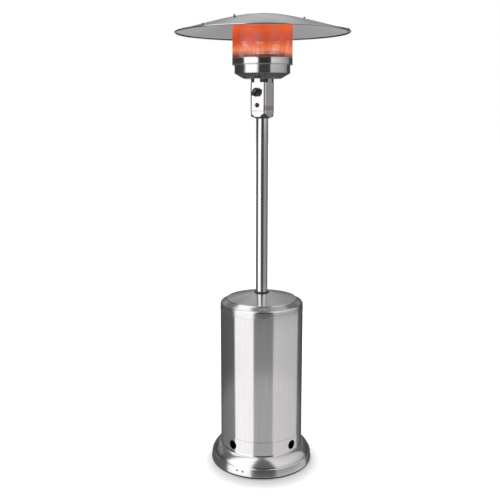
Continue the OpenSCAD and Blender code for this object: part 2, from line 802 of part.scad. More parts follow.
module burner() {
    ports = 36;
    color("gray") difference() {
        translate([0, 0, tray_z]) rotate_extrude() {
            polygon([[venturi_r + 2, 0], [burner_r, 0], [burner_r, 26], [burner_r - 8, burner_top_z - tray_z],
                [0, burner_top_z - tray_z], [0, burner_top_z - tray_z - 3], [burner_r - 10, burner_top_z - tray_z - 3],
                [burner_r - 3, 24], [burner_r - 3, 3], [venturi_r + 2, 3]]);
        }
        for (k = [0:ports - 1]) rotate([0, 0, k * 360 / ports])
            translate([burner_r - 12, 0, tray_z + 16]) rotate([0, 90, 0]) cylinder(h = 20, r = 2);
    }
}

module pilot_burner() {
    color("silver") translate([pilot_x, 0, tray_z]) difference() {
        union() {
            translate([-9, -10, 0]) cube([20, 20, 2]);
            cylinder(h = 34, r = 5);
            translate([0, 0, 34]) cylinder(h = 12, r = 7);
        }
        translate([0, 0, 36]) cylinder(h = 20, r = 5.5);
        translate([-12, -3, 38]) cube([12, 6, 10]);
        translate([0, 0, -1]) cylinder(h = 20, r = 2.1);
    }
}

// A thin tube in the plane y = 0: up, outwards with two round bends, and up again
module bent_tube(r, x0, z0, x1, z1, bend) {
    translate([x0, 0, z0]) cylinder(h = feed_z - bend - z0, r = r);
    translate([x0 + bend, 0, feed_z - bend]) rotate([90, 0, 0]) rotate([0, 0, 90])
        rotate_extrude(angle = 90) translate([bend, 0]) circle(r = r);
    translate([x0 + bend, 0, feed_z]) rotate([0, 90, 0]) cylinder(h = x1 - x0 - 2 * bend, r = r);
    translate([x1 - bend, 0, feed_z + bend]) rotate([90, 0, 0]) rotate([0, 0, -90])
        rotate_extrude(angle = 90) translate([bend, 0]) circle(r = r);
    translate([x1, 0, feed_z + bend]) cylinder(h = z1 - feed_z - bend, r = r);
}

module pilot_tube() {
    color("peru") bent_tube(2, 14, knob_z + 20, pilot_x, tray_z + 18, 10);
}

module thermocouple() {
    color("peru") rotate([0, 0, pilot_turn]) bent_tube(1.5, 19, knob_z + 21, pilot_x, tray_z + 44, 10);
}

module spark_electrode() {
    color("white") rotate([0, 0, -pilot_turn]) {
        translate([pilot_x, 0, tray_z - 12]) cylinder(h = 44, r = 3);
        translate([pilot_x, 0, tray_z + 32]) cylinder(h = 14, r = 1.2);
    }
}

module emitter_screen() {
    color("orangered") ring(emitter_r, emitter_r - emitter_t, ring_z + 0.1, emitter_top_z);
}

module emitter_top() {
    color("silver") difference() {
        union() {
            translate([0, 0, emitter_top_z + eps]) cylinder(h = 1.2, r = emitter_r);
            translate([0, 0, emitter_top_z - 8]) cylinder(h = 8.5, r = emitter_r - emitter_t - eps);
        }
        translate([0, 0, emitter_top_z - 9]) cylinder(h = 8.9, r = emitter_r - emitter_t - 1.2);
        for (k = [0:panel_count - 1]) at_turn(seam_turn + k * 360 / panel_count)
            translate([standoff_r, 0, emitter_top_z - 2]) cylinder(h = 6, r = 3.1);
    }
}

/* Reflector */

module reflector_standoffs() {
    color("silver") for (k = [0:panel_count - 1]) at_turn(seam_turn + k * 360 / panel_count)
        translate([standoff_r, 0, 0]) {
            translate([0, 0, emitter_top_z - 6.2]) cylinder(h = 6, r = 5.5, $fn = 6);
            translate([0, 0, emitter_top_z - 1]) cylinder(h = stud_top_z - emitter_top_z + 1, r = 3);
            translate([0, 0, emitter_top_z + 1.3])
                cylinder(h = reflector_z(standoff_r) - emitter_top_z - 4.6, r = 7);
        }
}

// The reflector's sheet between two radii, shifted down and with its own thickness. Every sheet bends
// at the same radii, so that sheets that lie on each other stay parallel.
module reflector_profile(r0, r1, drop, t) {
    bends = [for (k = [0:reflector_steps - 1]) flat_r + (reflector_r - flat_r) * k / reflector_steps];
    rs = concat([r0], [for (r = bends) if (r > r0 + 1 && r < r1 - 1) r], [r1]);
    polygon(concat(
        [for (r = rs) [r, reflector_z(r) - drop]],
        [for (k = [len(rs) - 1:-1:0]) [rs[k], reflector_z(rs[k]) - drop - t]]));
}

module reflector_panel(index) {
    span = 360 / panel_count - seam_gap;
    color("silver") difference() {
        rotate([0, 0, seam_turn - 90 + index * 360 / panel_count + seam_gap / 2]) {
            rotate_extrude(angle = span) reflector_profile(panel_in_r, rim_x - 1, 0, reflector_t);
            rotate_extrude(angle = span) translate([rim_x, rim_z + 0.6]) circle(r = rim_wire_r);
        }
        for (k = [0:panel_count - 1]) at_turn(seam_turn + k * 360 / panel_count) {
            translate([standoff_r, 0, rim_z]) cylinder(h = 120, r = 3.3);
            for (r = seam_bolt_rs) translate([r, 0, rim_z - 20]) cylinder(h = 140, r = 3.3);
        }
    }
}

module reflector_panel_1() {
    reflector_panel(0);
}

module reflector_panel_2() {
    reflector_panel(1);
}

module reflector_panel_3() {
    reflector_panel(2);
}

module reflector_straps() {
    color("silver") difference() {
        intersection() {
            rotate_extrude() reflector_profile(standoff_r - 14, rim_x - 5, reflector_t + eps, strap_t);
            for (k = [0:panel_count - 1]) at_turn(seam_turn + k * 360 / panel_count)
                translate([standoff_r - 12, -strap_w / 2, rim_z - 20]) cube([rim_x, strap_w, 120]);
        }
        for (k = [0:panel_count - 1]) at_turn(seam_turn + k * 360 / panel_count) {
            translate([standoff_r, 0, rim_z]) cylinder(h = 120, r = 3.3);
            for (r = seam_bolt_rs) translate([r, 0, rim_z - 20]) cylinder(h = 140, r = 3.3);
        }
    }
}

module reflector_crown() {
    color("silver") difference() {
        rotate_extrude() reflector_profile(0, crown_r, -crown_t - eps, crown_t);
        for (k = [0:panel_count - 1]) at_turn(seam_turn + k * 360 / panel_count)
            translate([standoff_r, 0, rim_z]) cylinder(h = 120, r = 3.3);
    }
}

// A small bolt from below with a domed cap nut on top
module capped_bolt(top_z, low_z) {
    translate([0, 0, low_z - 3]) cylinder(h = top_z - low_z + 6, r = 2.8);
    translate([0, 0, low_z]) mirror([0, 0, 1]) cylinder(h = 3, r = 5.2);
    translate([0, 0, top_z]) {
        cylinder(h = 5, r = 5.8, $fn = 6);
        intersection() {
            translate([0, 0, 5]) sphere(r = 4.6);
            cylinder(h = 12, r = 5);
        }
    }
}

module seam_bolts() {
    color("dimgray") for (k = [0:panel_count - 1], r = seam_bolt_rs)
        at_turn(seam_turn + k * 360 / panel_count) translate([r, 0, 0])
            capped_bolt(reflector_z(r - 5.8) + 0.1, reflector_z(r + 5.2) - reflector_t - strap_t - 0.2);
}

module crown_nuts() {
    nut_z = reflector_z(0) + crown_t + 0.2;
    color("dimgray") for (k = [0:panel_count - 1]) at_turn(seam_turn + k * 360 / panel_count)
        translate([standoff_r, 0, nut_z]) difference() {
            intersection() {
                translate([0, 0, crown_nut_h - crown_nut_dome_r]) sphere(r = crown_nut_dome_r);
                cylinder(h = crown_nut_h + 1, r = 7);
            }
            translate([0, 0, -1]) cylinder(h = stud_top_z - nut_z + 1.2, r = 3 + eps);
        }
}

base_shell();
foot_ring();
base_plate();
base_collar();
skirt_screws();
support_leg_1();
support_leg_2();
support_leg_3();
leg_bolts();
post_socket();
post_bolts();
post();
gas_cylinder();
cylinder_guard();
cylinder_valve();
cylinder_handwheel();
regulator();
regulator_nut();
gas_hose();
housing_body();
housing_lid();
lid_grommet();
foot_sleeve();
head_bracket();
control_box();
neck_liner();
box_screws();
dial_plate();
gas_valve();
valve_plunger();
valve_stem();
control_knob();
igniter_barrel();
igniter_bezel();
igniter_button();
tilt_switch();
bowl_base();
bowl_wall();
head_ring();
burner_tray();
gas_jet();
venturi_tube();
burner();
pilot_burner();
pilot_tube();
thermocouple();
spark_electrode();
emitter_screen();
emitter_top();
reflector_standoffs();
reflector_panel_1();
reflector_panel_2();
reflector_panel_3();
reflector_straps();
reflector_crown();
seam_bolts();
crown_nuts();
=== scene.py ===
"""Looks of the outdoor gas heater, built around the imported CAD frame.

Lengths in the mesh helpers and the build functions are millimetres, as in the CAD design, and every mesh is
scaled to metres when it becomes a piece. Turns are degrees from -Y towards +X, as in the CAD design.
"""
import json
import math

import bmesh
import bpy
from mathutils import Matrix, Vector


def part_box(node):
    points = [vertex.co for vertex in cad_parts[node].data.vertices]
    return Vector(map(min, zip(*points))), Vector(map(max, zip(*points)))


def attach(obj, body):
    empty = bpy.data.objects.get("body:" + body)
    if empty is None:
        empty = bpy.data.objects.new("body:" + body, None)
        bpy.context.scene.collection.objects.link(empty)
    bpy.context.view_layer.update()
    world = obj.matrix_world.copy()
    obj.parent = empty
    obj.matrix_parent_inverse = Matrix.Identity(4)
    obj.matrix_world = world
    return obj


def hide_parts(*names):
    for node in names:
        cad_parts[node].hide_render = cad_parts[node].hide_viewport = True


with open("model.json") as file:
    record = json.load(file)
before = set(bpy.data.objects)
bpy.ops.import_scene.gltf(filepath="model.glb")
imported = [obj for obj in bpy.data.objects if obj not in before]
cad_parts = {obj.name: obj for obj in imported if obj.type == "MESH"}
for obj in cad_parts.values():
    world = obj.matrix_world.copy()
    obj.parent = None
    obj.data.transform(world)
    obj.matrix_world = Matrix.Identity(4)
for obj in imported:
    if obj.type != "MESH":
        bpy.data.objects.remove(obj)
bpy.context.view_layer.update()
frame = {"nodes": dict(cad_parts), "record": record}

MM = 0.001
SLOT_OF = {row["node"]: row["material_slot"] for row in frame["record"]["subparts"]}
BODY_OF = {node: body for body, nodes in frame["record"]["behaviour"]["bodies"].items() for node in nodes}


# ---------------------------------------------------------------- camera

CAMERA_TURN = 34.5          # where the camera stands round the heater
CAMERA_AWAY = 3.486
CAMERA_HEIGHT = 1.760
CAMERA_PITCH = 9.57         # looks down
CAMERA_YAW = 1.72           # looks a little to the left of the post
CAMERA_ROLL = -0.1
CAMERA_LENS = 52.65
CAMERA_SHIFT = (0.0196, -0.044)


def direction(turn, rise=0.0):
    """Unit vector that points from the post to a turn, lifted by rise degrees."""
    a, e = math.radians(turn), math.radians(rise)
    return Vector((math.sin(a) * math.cos(e), -math.cos(a) * math.cos(e), math.sin(e)))


def add_camera():
    data = bpy.data.cameras.new("camera")
    data.lens = CAMERA_LENS
    data.sensor_width = 36.0
    data.shift_x, data.shift_y = CAMERA_SHIFT
    data.clip_end = 100.0
    cam = bpy.data.objects.new("camera", data)
    cam.location = direction(CAMERA_TURN) * CAMERA_AWAY + Vector((0, 0, CAMERA_HEIGHT))
    ahead = -direction(CAMERA_TURN + CAMERA_YAW, CAMERA_PITCH)
    look = ahead.to_track_quat("-Z", "Y").to_matrix()
    cam.rotation_euler = (look @ Matrix.Rotation(math.radians(CAMERA_ROLL), 3, "Z")).to_euler()
    bpy.context.scene.collection.objects.link(cam)
    bpy.context.scene.camera = cam


# ---------------------------------------------------------------- node helpers

MATS = {}


def new_material(name):
    """Adds a material to MATS, and gives its node tree and its Principled shader."""
    mat = bpy.data.materials.new(name)
    mat.use_nodes = True
    MATS[name] = mat
    return mat.node_tree, mat.node_tree.nodes["Principled BSDF"]


def link(tree, source, target):
    tree.links.new(source, target)


def node(tree, kind, **settings):
    made = tree.nodes.new(kind)
    for key, value in settings.items():
        setattr(made, key, value)
    return made


def math_node(tree, operation, a, b=None):
    """A sum of sockets or numbers, such as ADD or SQRT."""
    made = node(tree, "ShaderNodeMath", operation=operation)
    for socket, value in zip(made.inputs, (a, b)):
        if value is None:
            continue
        if isinstance(value, (int, float)):
            socket.default_value = value
        else:
            link(tree, value, socket)
    return made.outputs[0]


def remap(tree, value, low, high, to_low, to_high, smooth=False):
    made = node(tree, "ShaderNodeMapRange", clamp=True)
    if smooth:
        made.interpolation_type = "SMOOTHSTEP"
    link(tree, value, made.inputs["Value"])
    for key, number in zip(("From Min", "From Max", "To Min", "To Max"), (low, high, to_low, to_high)):
        made.inputs[key].default_value = number
    return made.outputs["Result"]


def ramp(tree, value, stops):
    """A colour ramp through [(position, colour or grey)]."""
    made = node(tree, "ShaderNodeValToRGB")
    elements = made.color_ramp.elements
    while len(elements) < len(stops):
        elements.new(0.5)
    for element, (position, colour) in zip(elements, stops):
        element.position = position
        element.color = (*((colour,) * 3 if isinstance(colour, (int, float)) else colour), 1.0)
    link(tree, value, made.inputs["Fac"])
    return made.outputs["Color"]


def colour_mix(tree, factor, a, b):
    """Mixes two colours, each a socket, a tuple or a grey level."""
    made = node(tree, "ShaderNodeMix", data_type="RGBA")
    sockets = [made.inputs[0], made.inputs[6], made.inputs[7]]
    for socket, value in zip(sockets, (factor, a, b)):
        if isinstance(value, (int, float)):
            socket.default_value = value
        elif isinstance(value, tuple):
            socket.default_value = (*value, 1.0)
        else:
            link(tree, value, socket)
    return made.outputs[2]


def object_point(tree, scale=(1, 1, 1)):
    """The surface point in the row frame, stretched by scale."""
    coords = node(tree, "ShaderNodeTexCoord")
    mapping = node(tree, "ShaderNodeMapping")
    mapping.inputs["Scale"].default_value = scale
    link(tree, coords.outputs["Object"], mapping.inputs["Vector"])
    return mapping.outputs["Vector"]


def noise(tree, vector, scale, detail=2.0, roughness=0.5):
    made = node(tree, "ShaderNodeTexNoise")
    made.inputs["Scale"].default_value = scale
    made.inputs["Detail"].default_value = detail
    made.inputs["Roughness"].default_value = roughness
    link(tree, vector, made.inputs["Vector"])
    return made.outputs["Fac"]


def bump(tree, shader, height, distance):
    made = node(tree, "ShaderNodeBump")
    made.inputs["Distance"].default_value = distance
    made.inputs["Strength"].default_value = 1.0
    link(tree, height, made.inputs["Height"])
    link(tree, made.outputs["Normal"], shader.inputs["Normal"])


def weighted(tree, fine, broad, share):
    """Two noises added, with the fine one's share of the sum."""
    return math_node(tree, "ADD", math_node(tree, "MULTIPLY", fine, share),
                     math_node(tree, "MULTIPLY", broad, 1.0 - share))


def separate_xyz(tree):
    """The surface point's place in the row frame, as separate sockets."""
    split = node(tree, "ShaderNodeSeparateXYZ")
    link(tree, node(tree, "ShaderNodeTexCoord").outputs["Object"], split.inputs["Vector"])
    return split.outputs


# ---------------------------------------------------------------- materials

def mottled(tree, shader, value, colour, tone, low, high):
    """Colours a shader from a darker to a lighter tone as value goes from low to high."""
    dark = tuple(c * (1 - tone) for c in colour)
    light = tuple(min(1.0, c * (1 + tone)) for c in colour)
    link(tree, ramp(tree, value, [(low, dark), (high, light)]), shader.inputs["Base Color"])


def polished_steel():
    """Stainless steel with a brushed grain, which is noise drawn out along the height."""
    tree, shader = new_material("polished_steel")
    shader.inputs["Metallic"].default_value = 1.0
    lines = noise(tree, object_point(tree, (1, 1, 0.012)), 260.0, detail=3.0, roughness=0.6)
    smears = noise(tree, object_point(tree), 5.0, detail=3.0, roughness=0.55)
    both = weighted(tree, lines, smears, 0.6)
    mottled(tree, shader, both, STEEL_WHITE, 0.06, 0.3, 0.7)
    link(tree, remap(tree, both, 0.3, 0.7, 0.15, 0.075), shader.inputs["Roughness"])
    bump(tree, shader, lines, 2e-6)


def spin_sheen(tree, shader, amount):
    """Stretches highlights across the rings of a turned part, so that they fan out from the post."""
    coords = node(tree, "ShaderNodeTexCoord")
    along = node(tree, "ShaderNodeVectorMath", operation="CROSS_PRODUCT")
    link(tree, coords.outputs["Object"], along.inputs[0])
    along.inputs[1].default_value = (0.0, 0.0, 1.0)
    to_world = node(tree, "ShaderNodeVectorTransform", vector_type="VECTOR", convert_from="OBJECT",
                    convert_to="WORLD")
    link(tree, along.outputs["Vector"], to_world.inputs["Vector"])
    link(tree, to_world.outputs["Vector"], shader.inputs["Tangent"])
    link(tree, amount, shader.inputs["Anisotropic"])
    shader.inputs["Anisotropic Rotation"].default_value = 0.25


def spun_steel(name, colour, rough, sheen, polished_from=1.0, tone=0.07):
    """Stainless steel turned on a lathe: fine rings about the post, polished bright beyond a radius."""
    tree, shader = new_material(name)
    shader.inputs["Metallic"].default_value = 1.0
    place_at = separate_xyz(tree)
    squares = [math_node(tree, "MULTIPLY", place_at[axis], place_at[axis]) for axis in ("X", "Y")]
    away = math_node(tree, "SQRT", math_node(tree, "ADD", *squares))
    line = node(tree, "ShaderNodeCombineXYZ")
    link(tree, away, line.inputs["X"])
    link(tree, place_at["Z"], line.inputs["Z"])
    rings = noise(tree, line.outputs["Vector"], 1400.0, detail=3.0, roughness=0.6)
    smears = noise(tree, object_point(tree), 7.0, detail=3.0)
    both = weighted(tree, rings, smears, 0.6)
    mottled(tree, shader, both, colour, tone, 0.3, 0.7)
    spun = remap(tree, away, polished_from - 0.002, polished_from + 0.002, 1.0, 0.0)
    grain = remap(tree, both, 0.3, 0.7, rough + 0.05, rough - 0.03)
    bright = remap(tree, both, 0.3, 0.7, 0.22, 0.16)
    mixed = math_node(tree, "ADD", math_node(tree, "MULTIPLY", grain, spun),
                      math_node(tree, "MULTIPLY", bright, math_node(tree, "SUBTRACT", 1.0, spun)))
    link(tree, mixed, shader.inputs["Roughness"])
    bump(tree, shader, rings, 4e-6)
    spin_sheen(tree, shader, remap(tree, spun, 0.0, 1.0, 0.2, sheen))


def moulded(name, colour, rough, tone=0.12, depth=3e-5, metallic=0.0):
    """Plastic, rubber, paint or cast metal with a fine moulded or sprayed texture."""
    tree, shader = new_material(name)
    shader.inputs["Metallic"].default_value = metallic
    fine = noise(tree, object_point(tree), 900.0)
    both = weighted(tree, fine, noise(tree, object_point(tree), 18.0, detail=3.0), 0.5)
    mottled(tree, shader, both, colour, tone, 0.35, 0.65)
    link(tree, remap(tree, both, 0.3, 0.7, rough + 0.06, max(0.02, rough - 0.04)), shader.inputs["Roughness"])
    bump(tree, shader, fine, depth)


def glowing(name, low_z, high_z):
    """Perforated steel at red heat: dull at the foot, peach above it, red in the middle, orange on top."""
    tree, shader = new_material(name)
    shader.inputs["Base Color"].default_value = (0.13, 0.085, 0.10, 1.0)
    shader.inputs["Metallic"].default_value = 1.0
    shader.inputs["Roughness"].default_value = 0.32
    clouds = noise(tree, object_point(tree, (1, 1, 1.2)), 13.0, detail=3.0, roughness=0.6)
    wave = math_node(tree, "MULTIPLY", math_node(tree, "SUBTRACT", clouds, 0.5), 0.03)
    height = remap(tree, math_node(tree, "ADD", separate_xyz(tree)["Z"], wave), low_z, high_z, 0.0, 1.0)
    colour = ramp(tree, height, [
        (0.00, (0.05, 0.025, 0.03)), (0.05, (0.16, 0.06, 0.05)), (0.11, (0.42, 0.11, 0.075)),
        (0.17, (0.82, 0.24, 0.10)), (0.25, (0.86, 0.21, 0.055)), (0.33, (0.74, 0.125, 0.028)),
        (0.42, (0.58, 0.080, 0.022)), (0.56, (0.52, 0.065, 0.022)), (0.68, (0.60, 0.070, 0.014)),
        (0.80, (0.74, 0.095, 0.006)), (0.93, (0.84, 0.125, 0.003)), (1.00, (0.62, 0.10, 0.02))])
    patches = noise(tree, object_point(tree, (1, 1, 0.8)), 24.0)
    salmon = colour_mix(tree, remap(tree, patches, 0.50, 0.80, 0.0, 0.30), colour, (0.80, 0.17, 0.13))
    streaks = noise(tree, object_point(tree, (1, 1, 0.03)), 160.0)
    flicker = math_node(tree, "SUBTRACT", remap(tree, streaks, 0.3, 0.7, 0.72, 1.18), 1.0)
    fade = remap(tree, height, 0.45, 0.15, 0.0, 1.0)
    lit = math_node(tree, "ADD", math_node(tree, "MULTIPLY", flicker, fade), 1.0)
    link(tree, salmon, shader.inputs["Emission Color"])
    link(tree, lit, shader.inputs["Emission Strength"])


STEEL_WHITE = (0.86, 0.86, 0.87)


def make_materials():
    polished_steel()
    spun_steel("spun_steel", STEEL_WHITE, 0.20, 0.75, polished_from=0.168)
    spun_steel("satin_steel", (0.66, 0.66, 0.67), 0.13, 0.5, tone=0.08)
    moulded("fasteners", (0.32, 0.32, 0.33), 0.35, metallic=1.0, tone=0.25)
    moulded("plated_steel", (0.50, 0.50, 0.48), 0.38, metallic=1.0, tone=0.18)
    moulded("ballast", (0.05, 0.05, 0.05), 0.55, depth=8e-5)
    moulded("black_rubber", (0.03, 0.03, 0.03), 0.55)
    moulded("hose_rubber", (0.03, 0.03, 0.03), 0.5)
    moulded("black_bracket", (0.03, 0.03, 0.03), 0.35)
    moulded("cylinder_paint", (0.62, 0.63, 0.62), 0.35, tone=0.05, depth=5e-5)
    moulded("brass", (0.72, 0.50, 0.20), 0.28, metallic=1.0)
    moulded("copper", (0.72, 0.33, 0.17), 0.25, metallic=1.0)
    moulded("regulator_grey", (0.42, 0.43, 0.44), 0.45, metallic=0.8, depth=8e-5)
    moulded("black_plastic", (0.012, 0.012, 0.012), 0.16, depth=4e-6)
    moulded("handwheel_plastic", (0.04, 0.09, 0.30), 0.4)
    moulded("red_plastic", (0.10, 0.004, 0.02), 0.15, depth=4e-6)
    moulded("insulator", (0.82, 0.80, 0.76), 0.25, tone=0.04)
    moulded("pointer_paint", (0.75, 0.75, 0.73), 0.4, tone=0.05)
    foot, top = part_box("head_ring")[1].z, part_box("emitter_screen")[1].z
    glowing("glowing_screen", foot, top)


make_materials()


# ---------------------------------------------------------------- mesh helpers

def scaled_mesh(name, bm):
    """Uses up a bmesh in millimetres and gives its mesh in metres."""
    bmesh.ops.scale(bm, vec=(MM, MM, MM), verts=bm.verts)
    mesh = bpy.data.meshes.new(name)
    bm.to_mesh(mesh)
    bm.free()
    return mesh


def new_piece(name, bm, material, body, smooth_angle=35.0):
    """Turns a bmesh in millimetres into a piece that rides on a body."""
    bmesh.ops.recalc_face_normals(bm, faces=bm.faces)
    limit = math.radians(smooth_angle)
    for edge in bm.edges:
        edge.smooth = len(edge.link_faces) == 2 and edge.calc_face_angle(math.pi) < limit
    for face in bm.faces:
        face.smooth = True
    mesh = scaled_mesh(name, bm)
    mesh.materials.append(MATS[material])
    piece = bpy.data.objects.new(name, mesh)
    bpy.context.scene.collection.objects.link(piece)
    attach(piece, body)
    return piece


def replace(name, bm, material, smooth_angle=35.0):
    """A piece that stands for the CAD node of the same name, on the node's body; the node is hidden."""
    piece = new_piece(name, bm, material, BODY_OF[name], smooth_angle)
    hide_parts(name)
    return piece


def node_r(name):
    """Outer radius of a CAD node that is round about the post, in millimetres."""
    low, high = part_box(name)
    return max(high.x, -low.x, high.y, -low.y) / MM


def node_z(name):
    """Lowest and highest level of a CAD node, in millimetres."""
    low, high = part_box(name)
    return low.z / MM, high.z / MM


def square_size(name):
    """Half width, lowest and highest level of a CAD node that is square about the post, in millimetres."""
    low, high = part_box(name)
    return high.x / MM, low.z / MM, high.z / MM


def panel_size(name):
    """Middle level, radius, depth and back of a round CAD node on the control panel, in millimetres."""
    low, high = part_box(name)
    return (low.z + high.z) / 2 / MM, (high.z - low.z) / 2 / MM, (high.y - low.y) / MM, high.y / MM


def rounded(corners, step=12.0):
    """A path through (r, z, fillet radius) corners, with each fillet as an arc."""
    path = []
    for i, (x, z, fillet) in enumerate(corners):
        here = Vector((x, z))
        if not fillet or i in (0, len(corners) - 1):
            path.append(here)
            continue
        back = (Vector(corners[i - 1][:2]) - here).normalized()
        on = (Vector(corners[i + 1][:2]) - here).normalized()
        half = math.acos(max(-1.0, min(1.0, back.dot(on)))) / 2
        reach = fillet / math.tan(half)
        centre = here + (back + on).normalized() * (fillet / math.sin(half))
        start, end = here + back * reach - centre, here + on * reach - centre
        sweep = math.atan2(start.x * end.y - start.y * end.x, start.dot(end))
        count = max(3, int(abs(math.degrees(sweep)) / step) + 1)
        for k in range(count + 1):
            a = sweep * k / count
            path.append(centre + Vector((start.x * math.cos(a) - start.y * math.sin(a),
                                         start.x * math.sin(a) + start.y * math.cos(a))))
    return path


def thicken(path, t):
    """A closed loop: the path, and the path set off by t to its left, backwards."""
    inner = []
    for i, p in enumerate(path):
        a = path[max(0, i - 1)]
        b = path[min(len(path) - 1, i + 1)]
        d = (b - a).normalized()
        inner.append(p + Vector((-d.y, d.x)) * t)
    return path + inner[::-1]


def lathe(bm, loop, segments, start=0.0, span=360.0):
    """Turns a closed loop of (r, z) points about the post. Points on the axis are joined."""
    whole = abs(span - 360.0) < 1e-6
    columns = segments if whole else segments + 1
    rings = []
    for k in range(columns):
        a = math.radians(start + span * k / segments)
        rings.append([bm.verts.new((p[0] * math.sin(a), -p[0] * math.cos(a), p[1])) for p in loop])
    n = len(loop)
    for k in range(segments):
        left, right = rings[k], rings[(k + 1) % columns]
        for i in range(n):
            bm.faces.new((left[i], right[i], right[(i + 1) % n], left[(i + 1) % n]))
    if not whole:
        bm.faces.new(rings[0])
        bm.faces.new(rings[-1])
    bmesh.ops.remove_doubles(bm, verts=bm.verts, dist=1e-4)
    return bm


def band(bm, low, high):
    """Faces between two rings of equally many vertices."""
    for k in range(len(low)):
        after = (k + 1) % len(low)
        bm.faces.new((low[k], low[after], high[after], high[k]))


def stack(bm, rings, capped=False):
    """Bands of faces from each ring to the next, and a face on the first and the last if capped."""
    for low, high in zip(rings, rings[1:]):
        band(bm, low, high)
    if capped:
        bm.faces.new(rings[0])
        bm.faces.new(rings[-1])


def moved(bm, matrix):
    """Moves a bmesh by a matrix, in place."""
    bmesh.ops.transform(bm, matrix=matrix, verts=bm.verts)
    return bm


def join(target, other):
    """Adds another bmesh to target."""
    mesh = bpy.data.meshes.new("scratch")
    other.to_mesh(mesh)
    other.free()
    target.from_mesh(mesh)
    bpy.data.meshes.remove(mesh)
    return target


def facing_out(turn, at):
    """Matrix that takes +Z to the outward direction of a turn, at a point (r, z)."""
    out = direction(turn)
    along = Vector((math.cos(math.radians(turn)), math.sin(math.radians(turn)), 0))
    up = Vector((0, 0, 1))
    m = Matrix((along, up, out)).transposed().to_4x4()
    m.translation = out * at[0] + up * at[1]
    return m


def small_turned(loop, segments=32):
    """A solid turned about the Z axis from one closed loop of (r, z) points."""
    return lathe(bmesh.new(), loop, segments)


def turned(name, loop, material, segments=256):
    """A piece turned about the post from one closed loop, in place of the CAD node of the same name."""
    return replace(name, small_turned(loop, segments), material)


# ---------------------------------------------------------------- base

SHELL_T = 1.4
CREASE_H = 44.3             # where the skirt ends and the bulge starts
BULGE_POWER = 1.3           # below 2, the bulge is flatter than an ellipse


def base_shell():
    r, (low, top) = node_r("base_shell"), node_z("base_shell")
    inner = node_r("housing_body") + 2.4
    foot = low + CREASE_H
    height = top - low - CREASE_H
    path = rounded([
        (r - 11.5, low + 10, 0), (r - 11.5, low, 5.4), (r, low, 5.4), (r - 5.6, low + 39.8, 2.6),
        (r - 8.6, low + 42.4, 0.8), (r - 9, foot, 0)], step=5.0)[:-1]
    for k in range(46):
        a = math.radians(2 * k)
        path.append(Vector((inner + (r - 9 - inner) * math.cos(a) ** (2 / BULGE_POWER),
                            foot + height * math.sin(a) ** (2 / BULGE_POWER))))
    path.append(Vector((inner - 16, top)))
    turned("base_shell", thicken(path, SHELL_T), "spun_steel")


def foot_ring():
    r = node_r("foot_ring")
    loop = rounded([(r - 10, 0, 0), (r - 10.5, 0, 0.8), (r - 10.5, 5.5, 0.8), (r - 8.5, 3.4, 1.0),
                    (r - 3.3, 3.1, 0), (r, 3.4, 0.6), (r, 0, 1.0), (r - 9.9, 0, 0)])
    turned("foot_ring", loop, "black_rubber", 192)


def carve(piece, cutters):
    """Takes cutter meshes out of a piece and keeps its round walls shaded as round."""
    for cutter in cutters:
        mod = piece.modifiers.new("cut", "BOOLEAN")
        mod.operation = "DIFFERENCE"
        mod.solver = "EXACT"
        mod.object = cutter
    graph = bpy.context.evaluated_depsgraph_get()
    cut = bpy.data.meshes.new_from_object(piece.evaluated_get(graph))
    piece.modifiers.clear()
    old = piece.data
    piece.data = cut
    cut.name = old.name
    bpy.data.meshes.remove(old)
    for cutter in cutters:
        bpy.data.objects.remove(cutter)
    normals = []
    for face in cut.polygons:
        for index in face.loop_indices:
            p = cut.vertices[cut.loops[index].vertex_index].co
            radial = Vector((p.x, p.y, 0)).normalized()
            facing = face.normal.dot(radial)
            normals.append(radial * math.copysign(1, facing) if abs(facing) > 0.98 else face.normal.copy())
    cut.normals_split_custom_set(normals)


def cutter_object(bm):
    """An object in metres that carve can take out of a piece."""
    bmesh.ops.recalc_face_normals(bm, faces=bm.faces)
    cutter = bpy.data.objects.new("cutter", scaled_mesh("cutter", bm))
    bpy.context.scene.collection.objects.link(cutter)
    return cutter


VENTS = 4
VENT_TURN = -8.5
VENT_R = 22.5
VENT_Z = 125.0


def base_collar():
    r, (low, top) = node_r("housing_body"), node_z("base_collar")
    shoulder = top - 14
    path = rounded([
        (r - 14, low, 0), (r + 2, low, 0.7), (r + 1.7, low + 2, 1.0), (r, low + 7, 3.0), (r, shoulder, 0.6),
        (r - 1.8, shoulder, 0.3), (r - 1.8, top, 0)])
    piece = turned("base_collar", thicken(path, SHELL_T), "polished_steel")
    cutters = []
    for k in range(VENTS):
        bar = small_turned([(0, -12), (VENT_R, -12), (VENT_R, 12), (0, 12)], 64)
        cutters.append(cutter_object(moved(bar, facing_out(VENT_TURN + 360 / VENTS * k, (r, VENT_Z)))))
    carve(piece, cutters)


# ---------------------------------------------------------------- housing

SHEET_T = 1.0
POST_T = 1.5


def housing_body():
    r, (low, top) = node_r("housing_body"), node_z("housing_body")
    path = rounded([(r - 1.6, low + 8, 0), (r - 1.6, low + 0.4, 0.4), (r, low, 0.8), (r, top, 0)])
    bm = small_turned(thicken(path, SHEET_T), 256)
    seam = [(r - 0.1, low + 2), (r + 0.7, low + 2), (r + 0.7, top - 1), (r - 0.1, top - 1)]
    lathe(bm, seam, 8, start=178.0, span=4.0)
    replace("housing_body", bm, "polished_steel")


SHOULDER_H = 52.5           # the shoulder's flat, above the seam with the housing
SHOULDER_R = 15.0
SHOULDER_RISE = 15.5
STEP_R = 170.0
STEP_H = 4.0


def dome_curve(count, hole_r, edge_r, top, edge_z, power=1.15):
    """The lid's crown from its edge to its hole, as (r, z) points."""
    radii = [edge_r + (hole_r - edge_r) * k / count for k in range(count + 1)]
    return [Vector((r, top - (top - edge_z) * ((r - hole_r) / (edge_r - hole_r)) ** power)) for r in radii]


